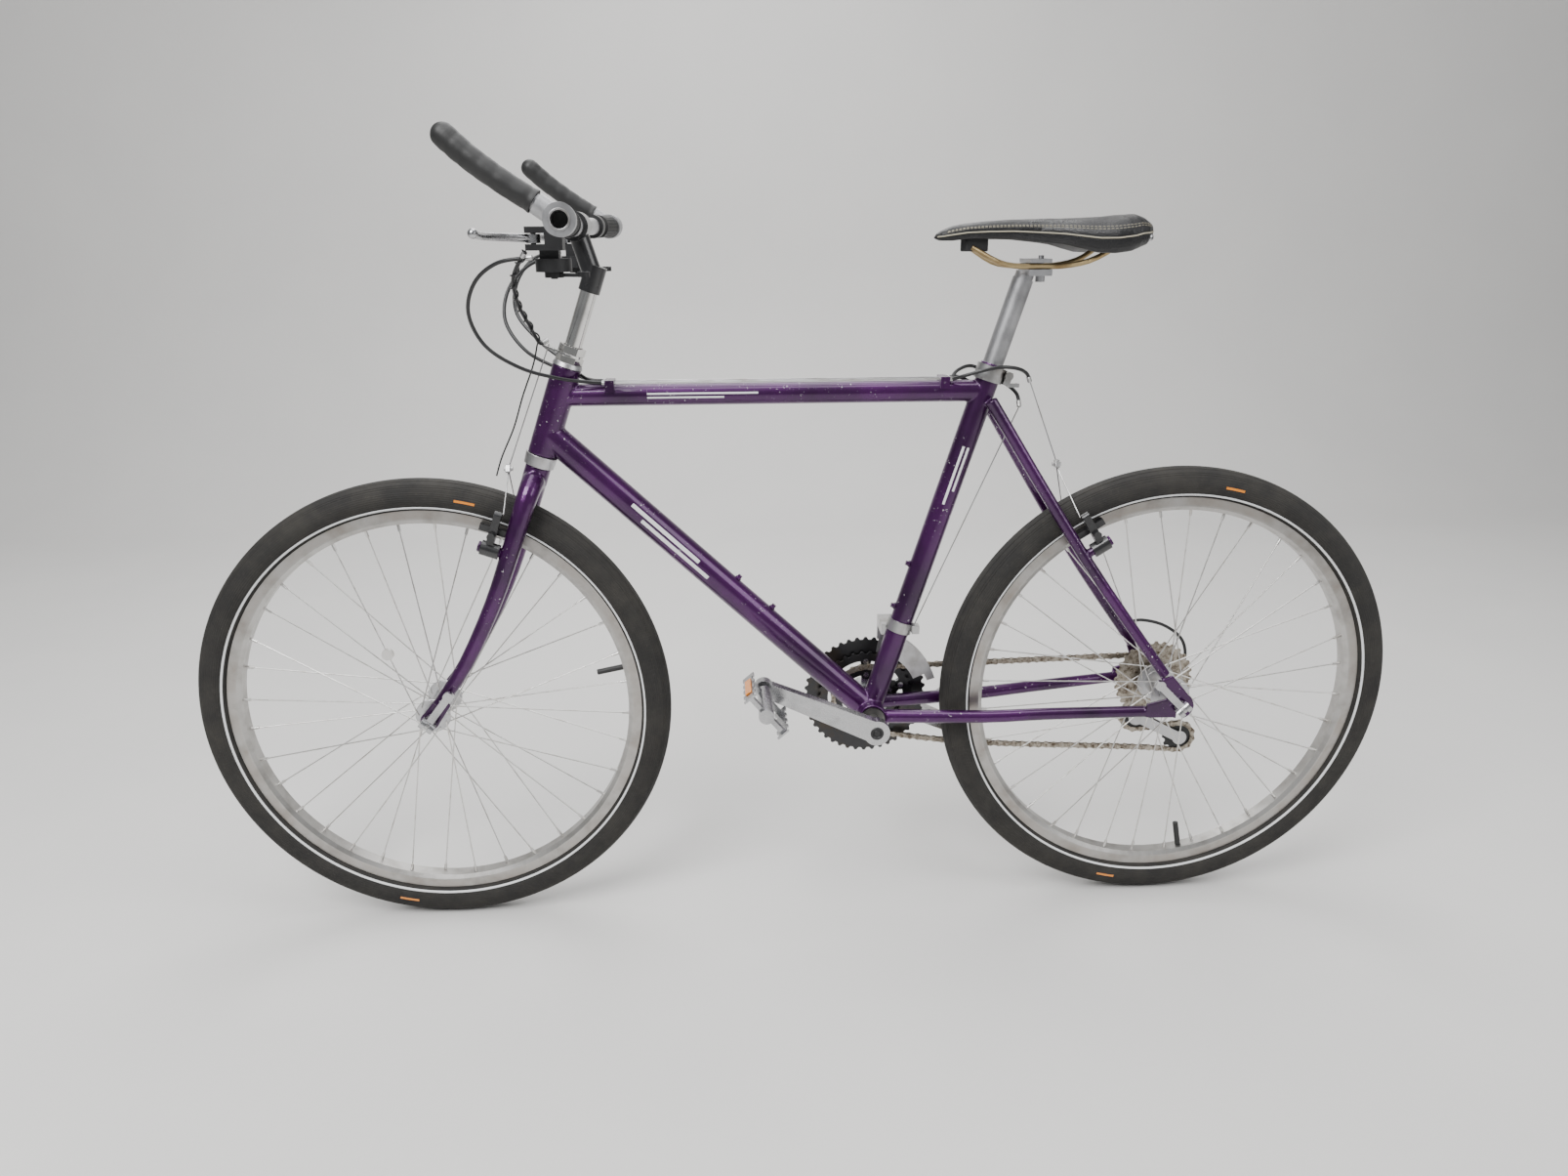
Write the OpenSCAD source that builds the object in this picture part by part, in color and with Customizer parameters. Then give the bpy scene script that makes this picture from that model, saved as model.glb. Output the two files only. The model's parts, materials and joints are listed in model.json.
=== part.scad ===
// City-converted mountain bicycle: bonded tube frame, unicrown fork, 26 inch wheels,
// triple chainset, cantilever brakes. X points forward, Y to the rider's left, Z up.
// The origin lies on the ground midway between the two axles.

/* [Wheels] */
// Distance between the two axles
wheelbase = 1040; // [1000:5:1080]
// Outer diameter of the tyres
tyre_d = 654; // [640:1:680]
// Width of the tyres
tyre_w = 47; // [40:0.5:50]
// Wall thickness of the tyres
tyre_wall = 3.5; // [2.5:0.1:4.5]
// Diameter over the rim flanges
rim_d = 571; // [565:0.5:575]
// Width of the rims
rim_w = 25; // [22:0.5:28]
// Radial depth of the rims
rim_depth = 18.5; // [14:0.5:22]
// Diameter of one spoke
spoke_d = 1.8; // [1.6:0.1:2]
// Diameter of the front axle
front_axle_d = 9; // [8:0.5:10]
// Diameter of the rear axle
rear_axle_d = 10; // [9:0.5:11]
// Distance between the fork dropouts
front_old = 100; // [95:1:105]
// Distance between the rear dropouts
rear_old = 135; // [130:1:140]

/* [Frame] */
// Height of the bottom bracket above the ground
bb_height = 303; // [290:1:315]
// Horizontal distance from the rear axle to the bottom bracket
bb_setback = 428; // [420:1:440]
// Outer diameter of the bottom bracket shell
bb_shell_d = 41; // [38:0.5:44]
// Width of the bottom bracket shell
bb_shell_w = 68; // [66:1:73]
// Seat tube angle from the horizontal
seat_angle = 72.5; // [71:0.5:74]
// Head tube angle from the horizontal
head_angle = 70.5; // [69:0.5:72]
// Height of the top tube's centre line
top_tube_z = 760; // [740:1:775]
// Top tube diameter
top_tube_d = 28.6; // [25:0.1:32]
// Down tube diameter
down_tube_d = 38; // [32:0.5:42]
// Seat tube diameter
seat_tube_d = 31.8; // [30.5:0.1:35]
// Head tube diameter
head_tube_d = 38; // [36:0.5:42]
// Head tube length
head_tube_len = 121; // [110:1:140]
// Wall thickness of the frame tubes
tube_wall = 1.8; // [1.2:0.1:2]
// Diameter of a seat stay at its top
stay_d = 17; // [14:0.5:19]
// Length of the seat tube from the bottom bracket
seat_tube_len = 516; // [480:1:530]

/* [Fork] */
// Forward offset of the axle from the steering axis
rake = 40; // [34:1:46]
// Distance along the steering axis from the axle to the lower headset cup
fork_len = 376; // [370:1:390]
// Steerer tube diameter
steerer_d = 25.4; // [25:0.1:28]
// Quill diameter of the stem
quill_d = 22.2; // [21.6:0.1:22.4]
// Distance between the fork blade centres at the brake bosses
blade_span = 90; // [86:1:96]

/* [Cockpit] */
// Height of the handlebar above the ground
bar_z = 970; // [950:1:990]
// Width of the handlebar
bar_w = 566; // [540:2:600]
// Outer diameter of the handlebar
bar_d = 22.2; // [22:0.1:23]
// Bore of the handlebar's open ends
bar_bore = 18; // [16:0.5:18.4]
// How far the bar ends sweep back
bar_sweep = 18.5; // [10:0.5:26]
// Length of a bar end
bar_end_len = 140; // [110:1:150]
// Rise angle of a bar end
bar_end_angle = 35; // [20:1:45]

/* [Saddle] */
// Diameter of the seat post
post_d = 27.2; // [26.6:0.1:27.4]
// Distance from the bottom bracket to the top of the seat post
saddle_reach = 629; // [610:1:650]
// Length of the saddle
saddle_len = 274; // [260:1:290]
// Width of the saddle
saddle_w = 140; // [130:1:160]

/* [Drive] */
// Length of the cranks
crank_len = 170; // [165:1:175]
// Angle of the left crank above the forward direction
crank_angle = 24; // [0:1:60]
// Diameter of the bottom bracket spindle
spindle_d = 17; // [16:0.5:18]
// Teeth on the large chainring
ring_big = 44; // [42:1:46]
// Teeth on the middle chainring
ring_mid = 34; // [32:1:36]
// Teeth on the small chainring
ring_small = 24; // [22:1:26]
// Distance of the middle chainring from the centre plane
chainline = 50.5; // [49:0.5:52]
// Distance between neighbouring chainrings
ring_gap = 6.2; // [6:0.1:7]
// Thickness of a chainring tooth
ring_t = 2; // [1.8:0.1:2.2]
// Distance from one sprocket to the next
cog_gap = 5; // [4.8:0.1:5.2]

/* [Hidden] */
$fn = 48;

glue = 0.15;        // joint line between two bonded pieces
run = 0.05;         // radial clearance of a turning or sliding fit
loose = 0.3;        // clearance between pieces that pass each other
cut = 1;            // how far a cutting tool reaches past the piece

purple = "#43104f";
silver = "#b9bbbd";
black = "#1b1b1c";

tyre_r = tyre_d / 2;
tyre_cr = tyre_r - tyre_w / 2;
rim_r = rim_d / 2;
rim_in = rim_r - rim_depth;
rear = [-wheelbase / 2, 0, tyre_r];
front = [wheelbase / 2, 0, tyre_r];
bb = [rear[0] + bb_setback, 0, bb_height];

head_u = [-cos(head_angle), 0, sin(head_angle)];
head_w = [sin(head_angle), 0, cos(head_angle)];
head_0 = front - rake * head_w;
cup_low = 16;
cup_high = 6;
head_lo = fork_len + cup_low;
head_hi = head_lo + head_tube_len;
race_lo = head_hi + cup_high + loose;
race_hi = race_lo + 8;
lock_lo = race_hi + 3;
lock_hi = lock_lo + 10;

seat_u = [-cos(seat_angle), 0, sin(seat_angle)];
seat_top = bb + seat_tube_len * seat_u;
post_top = bb + saddle_reach * seat_u;

boss_s = 258;       // brake boss distance from the axle along the steering axis
boss_r = 6;
boss_len = 38;
arm_x = 28;         // distance of the brake arm's middle from the tube's centre line
pad_rise = 19.8;    // brake block height above the boss
pad_len = 44;       // length of a brake block
pad_h = 9;          // height of a brake block
pad_gap = 2.2;      // distance between the brake block and the rim
stay_boss = rear + [145, blade_span / 2, 213];

// Unit vector along v
function unit(v) = v / norm(v);
// Point on the steering axis, s above the foot of the axle
function on_axis(s) = head_0 + s * head_u;
// Point on the seat tube's axis, s above the bottom bracket
function on_seat(s) = bb + s * seat_u;
// Point p mirrored to the side given by the sign s
function side(p, s) = [p[0], s * p[1], p[2]];
// A list of points mirrored to one side
function sides(p, s) = [for (q = p) side(q, s)];

// One point of a smooth curve through p, between its points i and i + 1
function curve_point(p, i, t) =
    let (a = p[max(i - 1, 0)], b = p[i], c = p[i + 1], d = p[min(i + 2, len(p) - 1)])
    b + 0.5 * t * (c - a + t * (2 * a - 5 * b + 4 * c - d + t * (3 * (b - c) + d - a)));
// The points of a smooth curve through p, with k steps to each stretch
function smooth(p, k) = concat(
    [for (i = [0 : len(p) - 2], j = [0 : k - 1]) curve_point(p, i, j / k)], [p[len(p) - 1]]);
// Direction of the path p at its point i
function along(p, i) = unit(p[min(i + 1, len(p) - 1)] - p[max(i - 1, 0)]);
// A unit vector across the direction t, as near to n as it can be
function across(n, t) = unit(n - (n * t) * t);
// The vectors across a path, each turned as little as possible from the last
function normals(p, n, i = 0) = i == len(p) ? [] :
    let (m = across(n, along(p, i))) concat([m], normals(p, m, i + 1));
// A value that changes evenly along a list of n
function ramp(a, b, n) = [for (i = [0 : n - 1]) a + (b - a) * i / (n - 1)];
// Distance of a sprocket's roller centres from its axis
function pitch_r(teeth) = 12.7 / 2 / sin(180 / teeth);

// A round bar from a to b
module rod(a, b, d, d2 = undef) {
    v = b - a;
    translate(a) rotate([0, acos(v[2] / norm(v)), atan2(v[1], v[0])])
        cylinder(h = norm(v), d1 = d, d2 = d2 == undef ? d : d2);
}
// A tube along the path p, with the radius r[i] at its point i
module sweep(p, r, n = 8, first = [0.3, 0.2, 1]) {
    m = normals(p, across(first, along(p, 0)));
    rings = [for (i = [0 : len(p) - 1], j = [0 : n - 1])
        let (t = along(p, i), a = 360 * j / n) p[i] + r[i] * (cos(a) * m[i] + sin(a) * cross(t, m[i]))];
    last = n * (len(p) - 1);
    skin = [for (i = [0 : len(p) - 2], j = [0 : n - 1])
        let (a = i * n + j, b = i * n + (j + 1) % n) [a, a + n, b + n, b]];
    ends = [[for (j = [0 : n - 1]) j], [for (j = [n - 1 : -1 : 0]) last + j]];
    polyhedron(rings, concat(skin, ends));
}
// A cord of one diameter through hand-placed points
module cord(p, d, k = 3, n = 8) {
    q = smooth(p, k);
    sweep(q, ramp(d / 2, d / 2, len(q)), n);
}
// A bar of one diameter with rounded bends
module bent(p, d, k = 4, n = 16) cord(p, d, k, n);
// A cylinder along Y between y0 and y1, about the point c
module ycyl(c, r, y0, y1) translate([c[0], y1, c[2]]) rotate([90, 0, 0]) cylinder(h = y1 - y0, r = r);
// A flat shape drawn in X and Z, as thick as y0 to y1
module slab(y0, y1) translate([0, y1, 0]) rotate([90, 0, 0]) linear_extrude(y1 - y0) children();
// A piece placed on the steering axis, with its Z up the axis and its X forward
module on_head(s) translate(on_axis(s)) rotate([0, head_angle - 90, 0]) children();
// A piece placed on the seat tube, with its Z up the tube and its X forward
module on_post(s) translate(on_seat(s)) rotate([0, seat_angle - 90, 0]) children();
// A toothed wheel's outline
module teeth(n, depth = 4) {
    r = pitch_r(n);
    step = 360 / n;
    polygon([for (i = [0 : n - 1], q = [[-0.34, -0.5], [-0.12, 0.5], [0.12, 0.5], [0.34, -0.5]])
        let (a = step * (i + q[0])) (r + depth * q[1]) * [cos(a), sin(a)]]);
}

// ---- Frame ----
post_bore = post_d + 2 * run;
head_at_top = on_axis((top_tube_z - head_0[2]) / head_u[2]);
seat_at_top = on_seat((top_tube_z - bb[2]) / seat_u[2]);
down_s = head_lo + 30;

module head_tube() color(purple) on_head(head_lo) difference() {
    cylinder(h = head_tube_len, d = head_tube_d);
    translate([0, 0, -cut]) cylinder(h = head_tube_len + 2 * cut, d = head_tube_d - 8);
}
module head_cut() on_head(head_lo - 40) cylinder(h = head_tube_len + 80, d = head_tube_d + 2 * glue);
module shell_cut() ycyl(bb, bb_shell_d / 2 + glue, -bb_shell_w, bb_shell_w);
module seat_cut() on_post(0) cylinder(h = seat_tube_len + 40, d = seat_tube_d + 2 * glue);
module top_tube() color(purple) difference() {
    rod(head_at_top, seat_at_top, top_tube_d);
    rod(head_at_top + [cut, 0, 0], seat_at_top - [cut, 0, 0], top_tube_d - 2 * tube_wall);
    head_cut();
    seat_cut();
}
module down_tube() color(purple) difference() {
    rod(on_axis(down_s), bb, down_tube_d);
    rod(on_axis(down_s) + [30, 0, 28], bb - [30, 0, 28], down_tube_d - 2 * tube_wall);
    head_cut();
    shell_cut();
    seat_cut();
}
module seat_tube() color(purple) difference() {
    on_post(0) cylinder(h = seat_tube_len, d = seat_tube_d);
    on_post(-cut) cylinder(h = seat_tube_len + 2 * cut, d = post_bore);
    shell_cut();
    on_post(seat_tube_len - 30) translate([-seat_tube_d, -1.2, 0]) cube([seat_tube_d, 2.4, 31]);
}
module bottom_bracket_shell() color(purple) difference() {
    ycyl(bb, bb_shell_d / 2, -bb_shell_w / 2, bb_shell_w / 2);
    ycyl(bb, bb_shell_d / 2 - 3.2, -bb_shell_w, bb_shell_w);
}
// A brake boss with its end bolt, on the side s
module brake_boss(s) translate([0, s * blade_span / 2, 0]) rotate([0, 90, 0]) {
    cylinder(h = boss_len + loose, r = boss_r);
    translate([0, 0, boss_len + loose]) cylinder(h = 4, r = 8, $fn = 6);
}
dropout_t = 6;
chainstay_pts = [[-10, 26, 1], [-158, 42, 3], [-245, 50, 8], [-391, 66, 15]];
module dropout_shape() difference() {
    union() {
        translate([rear[0], rear[2]]) circle(r = 19);
        polygon([rear_xz(-14, 12), rear_xz(15, 46), rear_xz(30, 40), rear_xz(18, 8)]);
        polygon([rear_xz(0, 16), rear_xz(48, 4), rear_xz(48, -16), rear_xz(4, -17)]);
    }
    translate([rear[0], rear[2]]) circle(d = rear_axle_d + 4 * run);
    translate([rear[0] - rear_axle_d / 2 - 2 * run, rear[2] - 40])
        square([rear_axle_d + 4 * run, 40]);
}
function rear_xz(x, z) = [rear[0] + x, rear[2] + z];
hanger = [rear[0] - 9, 0, rear[2] - 27];
module hanger_shape() difference() {
    polygon([rear_xz(-18, -4), rear_xz(-6, -4), rear_xz(2, -26), rear_xz(-4, -36), rear_xz(-16, -36)]);
    translate([hanger[0], hanger[2]]) circle(d = 8);
    translate([rear[0], rear[2]]) circle(d = rear_axle_d + 4 * run);
}
module chainstay(s) {
    pts = [for (p = chainstay_pts) [bb[0] + p[0], s * p[1], bb[2] + p[2]]];
    q = smooth(pts, 3);
    y0 = rear_old / 2;
    difference() {
        sweep(q, ramp(10, 8, len(q)), 16, [0, 0, 1]);
        shell_cut();
        ycyl(rear, 36, s > 0 ? 0 : -y0 - loose, s > 0 ? y0 + loose : 0);
    }
    slab(s > 0 ? y0 : -y0 - dropout_t, s > 0 ? y0 + dropout_t : -y0) {
        dropout_shape();
        if (s < 0) hanger_shape();
    }
}
module chainstays() color(purple) for (s = [-1, 1]) chainstay(s);
stay_foot = [rear[0] + 24, rear_old / 2 - 1.5, rear[2] + 45];
stay_head = [seat_top[0] + 5, 20, seat_top[2] - 46];
module seatstays() color(purple) for (s = [-1, 1]) {
    q = smooth(sides([stay_head, stay_boss, stay_foot], s), 4);
    difference() {
        sweep(q, ramp(stay_d / 2, stay_d / 2 - 1, len(q)), 16, [1, 0, 0]);
        seat_cut();
        slab(rear_old / 2 - glue, rear_old / 2 + 2 * dropout_t) dropout_shape();
        slab(-rear_old / 2 - 2 * dropout_t, -rear_old / 2 + glue) dropout_shape();
    }
    rear_brake_place() brake_boss(s);
}
module rear_brake_place() translate([stay_boss[0], 0, stay_boss[2]])
    rotate([0, 32.5, 0]) rotate([0, 0, 180]) children();
module headset_cups() color(silver) difference() {
    union() {
        on_head(fork_len + loose) cylinder(h = cup_low - loose - glue, d1 = 40, d2 = 42);
        on_head(head_hi + glue) cylinder(h = cup_high - glue, d1 = 40, d2 = 36);
    }
    on_head(fork_len - cut) cylinder(h = 200, d = steerer_d + 2 * run);
}
module bottom_bracket_cups() color("#3a3a3c") difference() {
    for (s = [-1, 1]) ycyl(bb, bb_shell_d / 2 - 3.2, min(s * 20, s * 37), max(s * 20, s * 37));
    ycyl(bb, spindle_d / 2 + run, -bb_shell_w, bb_shell_w);
}
down_dir = unit(on_axis(down_s) - bb);
down_up = [-down_dir[2], 0, down_dir[0]];
bottle_gap = 64;
bottle_s = 211;
// A cap screw seated on a tube at the point p, standing along n
module cap_screw(p, n) {
    rod(p + glue * n, p + 2 * n, 9);
    rod(p + 1.9 * n, p + 6 * n, 6.5);
}
stop_front = 257;
stop_rear = -182;
stop_y = 11;
stop_z = top_tube_z + 17;
cable_ys = [-stop_y, 0, stop_y];
// A cable stop for three cables on the top tube, with its housing seats facing the sign s
module cable_stop(x, s) difference() {
    translate([x - 6, -stop_y - 4, top_tube_z + 4]) cube([12, 2 * stop_y + 8, 16]);
    rod([x - 20, 0, top_tube_z], [x + 20, 0, top_tube_z], top_tube_d + 2 * glue);
    for (y = cable_ys) {
        rod([x - 20, y, stop_z], [x + 20, y, stop_z], wire_d + 2 * loose);
        rod([x, y, stop_z], [x + s * 20, y, stop_z], housing_d + 4 * loose);
    }
}
module frame_fittings() color(silver) {
    for (i = [0, 1]) {
        cap_screw(bb + (bottle_s + i * bottle_gap) * down_dir + down_tube_d / 2 * down_up, down_up);
        cap_screw(on_seat(160 + i * bottle_gap) + seat_tube_d / 2 * [seat_u[2], 0, -seat_u[0]],
            [seat_u[2], 0, -seat_u[0]]);
    }
    cable_stop(stop_front, 1);
    cable_stop(stop_rear, -1);
}
binder_x = -seat_tube_d / 2 - 7;
binder_s = seat_tube_len - 13;
hanger_tip = on_seat(binder_s) + [binder_x - 14, 0, -8];
module seat_binder() color(silver) {
    difference() {
        on_post(binder_s - 10) union() {
            difference() {
                cylinder(h = 20, d = seat_tube_d + 7);
                translate([0, 0, -cut]) cylinder(h = 22, d = seat_tube_d + 2 * glue);
                translate([-40, -1.2, -cut]) cube([40, 2.4, 22]);
            }
            for (y = [-9, 1.2]) translate([binder_x - 6, y, 1]) cube([9, 7.8, 18]);
        }
        rod(on_seat(binder_s) + [binder_x, -20, -3], on_seat(binder_s) + [binder_x, 20, -3], 5.6);
        for (s = [-1, 1]) seat_stay_cut(s);
    }
    rod(on_seat(binder_s) + [binder_x, -13, -3], on_seat(binder_s) + [binder_x, 13, -3], 5.4);
    for (y = [-16, 9.1]) rod(on_seat(binder_s) + [binder_x, y, -3],
        on_seat(binder_s) + [binder_x, y + 6.9, -3], 11);
    difference() {
        translate(hanger_tip + [-3, -4, -11]) cube([14, 8, 5]);
        rod(hanger_tip + [0, 0, -20], hanger_tip + [0, 0, 20], 2.2);
    }
}
module seat_stay_cut(s) {
    q = smooth(sides([stay_head, stay_boss, stay_foot], s), 4);
    sweep(q, ramp(stay_d / 2 + loose, stay_d / 2, len(q)), 16, [1, 0, 0]);
}

// ---- Steering ----
crown = fork_len - 18;
blade_mid = blade_span / 2;
fork_tip_y = front_old / 2 + 3;
function blade(s) = sides([
    on_axis(crown - 3) + [0, 15, 0],
    on_axis(crown - 13) + [0, 29, 0],
    on_axis(crown - 38) + [0, 38, 0],
    on_axis(boss_s) + [0, blade_mid, 0],
    on_axis(185) + 3 * head_w + [0, blade_mid + 3, 0],
    on_axis(95) + 15 * head_w + [0, blade_mid + 5, 0],
    on_axis(26) + 34 * head_w + [0, fork_tip_y, 0]], s);
module fork_end(s) {
    y0 = s > 0 ? front_old / 2 : -front_old / 2 - 6;
    difference() {
        slab(y0, y0 + 6) difference() {
            union() {
                translate([front[0], front[2]]) circle(r = 13);
                polygon([[front[0] - 30, front[2] + 22], [front[0] - 14, front[2] + 36],
                    [front[0] + 11, front[2] + 6], [front[0] - 10, front[2] - 8]]);
            }
            translate([front[0], front[2]]) circle(d = front_axle_d + 4 * run);
            translate([front[0] - front_axle_d / 2 - 2 * run, front[2] - 30])
                square([front_axle_d + 4 * run, 30]);
        }
    }
}
module fork() color(purple) {
    for (s = [-1, 1]) {
        q = smooth(blade(s), 3);
        difference() {
            sweep(q, ramp(15.5, 9, len(q)), 16, [0, 0, 1]);
            on_head(crown - 60) cylinder(h = 150, d = quill_d + 2 * run);
            ycyl(front, 22, -front_old / 2, front_old / 2);
        }
        fork_end(s);
        on_head(boss_s) brake_boss(s);
    }
    difference() {
        union() {
            ycyl(on_axis(crown - 3), 15.2, -18, 18);
            on_head(crown - 6) cylinder(h = 24, d = 34);
            on_head(crown - 6) cylinder(h = lock_hi - crown + 4, d = steerer_d);
        }
        on_head(crown - 20) cylinder(h = 300, d = quill_d + 2 * run);
    }
}
hanger_len = 34;
module headset_locknuts() color(silver) difference() {
    union() {
        on_head(race_lo) cylinder(h = race_hi - race_lo, d = 36, $fn = 6);
        on_head(race_hi) {
            cylinder(h = 3, d = 33);
            translate([0, -6, 0]) cube([hanger_len, 12, 3]);
        }
        on_head(lock_lo) cylinder(h = lock_hi - lock_lo, d = 35, $fn = 6);
    }
    on_head(race_lo - cut) cylinder(h = 60, d = steerer_d + 2 * run);
    on_head(race_hi - cut) translate([hanger_len - 5, 0, 0])
        cylinder(h = 6, d = wire_d + 2 * loose);
}
quill_top = 612;
bar_mid = [290, 0, bar_z];
clamp_w = 46;
module stem() color(black) difference() {
    union() {
        on_head(lock_hi - 96) cylinder(h = quill_top - lock_hi + 96, d = quill_d);
        on_head(quill_top) cylinder(h = 34, d = 28);
        rod(on_axis(quill_top + 20), bar_mid, 25);
        ycyl(bar_mid, 18, -clamp_w / 2, clamp_w / 2);
    }
    ycyl(bar_mid, bar_d / 2 + 1.6 + run, -clamp_w, clamp_w);
    translate(bar_mid + [8, -clamp_w, -1]) cube([30, 2 * clamp_w, 2]);
}
bar_bend = 33;
function bar_tip(s) = [bar_mid[0] - bar_sweep, s * bar_w / 2, bar_z + 3];
function bar_root(s) = bar_mid + [0, s * bar_bend, 0];
function bar_dir(s) = unit(bar_tip(s) - bar_root(s));
// Point on the handlebar's straight end, at the distance y from the centre plane
function on_bar(y) =
    let (s = sign(y), a = bar_root(s), b = bar_tip(s))
    a + (b - a) * (abs(y) - bar_bend) / (abs(b[1]) - bar_bend);
bar_bore_len = 60;
module handlebar() color(silver) difference() {
    union() {
        ycyl(bar_mid, bar_d / 2 + 1.6, -bar_bend - 3, bar_bend + 3);
        for (s = [-1, 1]) rod(bar_root(s), bar_tip(s), bar_d);
    }
    ycyl(bar_mid, bar_bore / 2 - 2, -bar_bend - 2, bar_bend + 2);
    for (s = [-1, 1]) {
        rod(bar_root(s), bar_tip(s), bar_bore - 2);
        rod(bar_tip(s) - bar_bore_len * bar_dir(s), bar_tip(s) + 2 * bar_dir(s), bar_bore);
    }
}
// A sleeve round the handlebar between two distances from the centre plane
module sleeve(y0, y1, d) difference() {
    rod(on_bar(y0), on_bar(y1), d);
    rod(on_bar(y0 - sign(y0) * 2), on_bar(y1 + sign(y1) * 2), bar_d + 2 * run);
}
end_clamp = 24;
end_y = bar_w / 2 - 13;
end_dir = [cos(bar_end_angle), 0, sin(bar_end_angle)];
function end_pts(s) = [
    on_bar(s * end_y) + 30 * end_dir,
    on_bar(s * end_y) + 70 * end_dir - [0, s * 1, 2],
    on_bar(s * end_y) + 108 * end_dir - [0, s * 3, 1],
    on_bar(s * end_y) + bar_end_len * end_dir - [0, s * 6, -4]];
module grips() color(black) for (s = [-1, 1]) {
    sleeve(s * 168, s * (end_y - end_clamp / 2 - 1), 31);
    q = smooth(end_pts(s), 3);
    difference() {
        sweep(q, ramp(12.5, 13.5, len(q)), 16, [0, 1, 0]);
        rod(on_bar(s * end_y), on_bar(s * end_y) + 112 * end_dir, 19);
    }
}
module bar_ends() color(silver) for (s = [-1, 1]) difference() {
    union() {
        rod(on_bar(s * (end_y - end_clamp / 2)), on_bar(s * (end_y + end_clamp / 2)), 34);
        rod(on_bar(s * end_y), on_bar(s * end_y) + 28 * end_dir, end_clamp - 1);
        rod(on_bar(s * end_y), on_bar(s * end_y) + 100 * end_dir, 18.6);
    }
    rod(on_bar(s * (end_y - 20)), on_bar(s * (end_y + 20)), bar_d + 2 * run);
    translate(on_bar(s * end_y) + [-20, -20, -15]) rotate([0, 30, 0]) cube([20, 40, 2]);
}
lever_y = 134;
function pivot(s) = [322, s * lever_y, 955];
pod_y = 112;
function pod(s) = [304, s * pod_y, 926];
module control_bracket(s) {
    difference() {
        union() {
            rod(on_bar(s * (lever_y - 8)), on_bar(s * (lever_y + 8)), 31);
            translate(pivot(s) + [-34, -12, -13]) cube([42, 24, 26]);
            translate(pod(s) + [-8, s > 0 ? -8 : -12, 4]) cube([22, 20, 16]);
        }
        rod(on_bar(s * (lever_y - 40)), on_bar(s * (lever_y + 40)), bar_d + 2 * run);
        translate(pivot(s) + [-14, -20, -6]) cube([40, 40, 12]);
    }
    translate(pivot(s) + [0, 0, -13 + loose]) cylinder(h = 26 - 2 * loose, r = 3);
    difference() {
        translate(pod(s) + [0, 0, -8]) cylinder(h = 15, r = 21);
        translate(pod(s) + [0, 0, -9]) cylinder(h = 6, r = 15);
    }
    translate(pod(s) + [0, 0, -16]) cylinder(h = 20, r = 4);
}
module control_brackets() color(black) for (s = [-1, 1]) control_bracket(s);
lever_pts = [[0, 0, 0], [16, 12, 1], [36, 38, 2], [46, 70, 3], [46, 103, 5]];
module brake_lever(s) color(silver) {
    p = smooth([for (q = lever_pts) pivot(s) + side(q, s)], 3);
    difference() {
        union() {
            translate(pivot(s) + [0, 0, -5]) cylinder(h = 10, r = 8);
            sweep(p, ramp(4.8, 4.2, len(p)), 12);
        }
        translate(pivot(s) + [0, 0, -20]) cylinder(h = 40, r = 3 + run);
    }
    translate(p[len(p) - 1]) sphere(d = 11);
}
module brake_lever_left() brake_lever(1);
module brake_lever_right() brake_lever(-1);
module shift_lever(s) color(black) difference() {
    union() {
        translate(pod(s) + [0, 0, -14.5]) cylinder(h = 6, r = 11);
        translate(pod(s) + [0, 0, -13.5]) rotate([0, 0, s > 0 ? 150 : -150]) {
            translate([0, -4, 0]) cube([42, 8, 4]);
            translate([42, 0, 0]) cylinder(h = 6, r = 7);
        }
    }
    translate(pod(s) + [0, 0, -30]) cylinder(h = 60, r = 4 + run);
}
module shift_lever_left() shift_lever(1);
module shift_lever_right() shift_lever(-1);

// ---- Brake arms ----
module brake_arm(s) color("#202022") {
    y = s * blade_span / 2;
    inner = s * (rim_w / 2 + pad_gap);
    outer = inner + s * 10;
    difference() {
        union() {
            translate([boss_len - 24, y, 0]) rotate([0, 90, 0]) cylinder(h = 24, r = 10);
            translate([arm_x - 5, y - 6, 6]) cube([10, 12, 42]);
            translate([arm_x, y, 47]) rotate([0, 90, 0]) cylinder(h = 10, r = 6, center = true);
            rod([arm_x, outer - s * 0.5, pad_rise], [arm_x, y + s * 10, pad_rise], 6);
            rod([arm_x, y + s * 6, pad_rise], [arm_x, y + s * 12, pad_rise], 11);
        }
        translate([0, y, 0]) rotate([0, 90, 0]) cylinder(h = 60, r = boss_r + run);
    }
    translate([arm_x - pad_len / 2, min(inner, outer), pad_rise - pad_h / 2]) cube([pad_len, 10, pad_h]);
}
module front_brake_arm_left() on_head(boss_s) brake_arm(1);
module front_brake_arm_right() on_head(boss_s) brake_arm(-1);
module rear_brake_arm_left() rear_brake_place() brake_arm(-1);
module rear_brake_arm_right() rear_brake_place() brake_arm(1);

// ---- Wheels ----
spoke_count = 36;
cross_angle = 60;
hole_y = 3;
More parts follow.
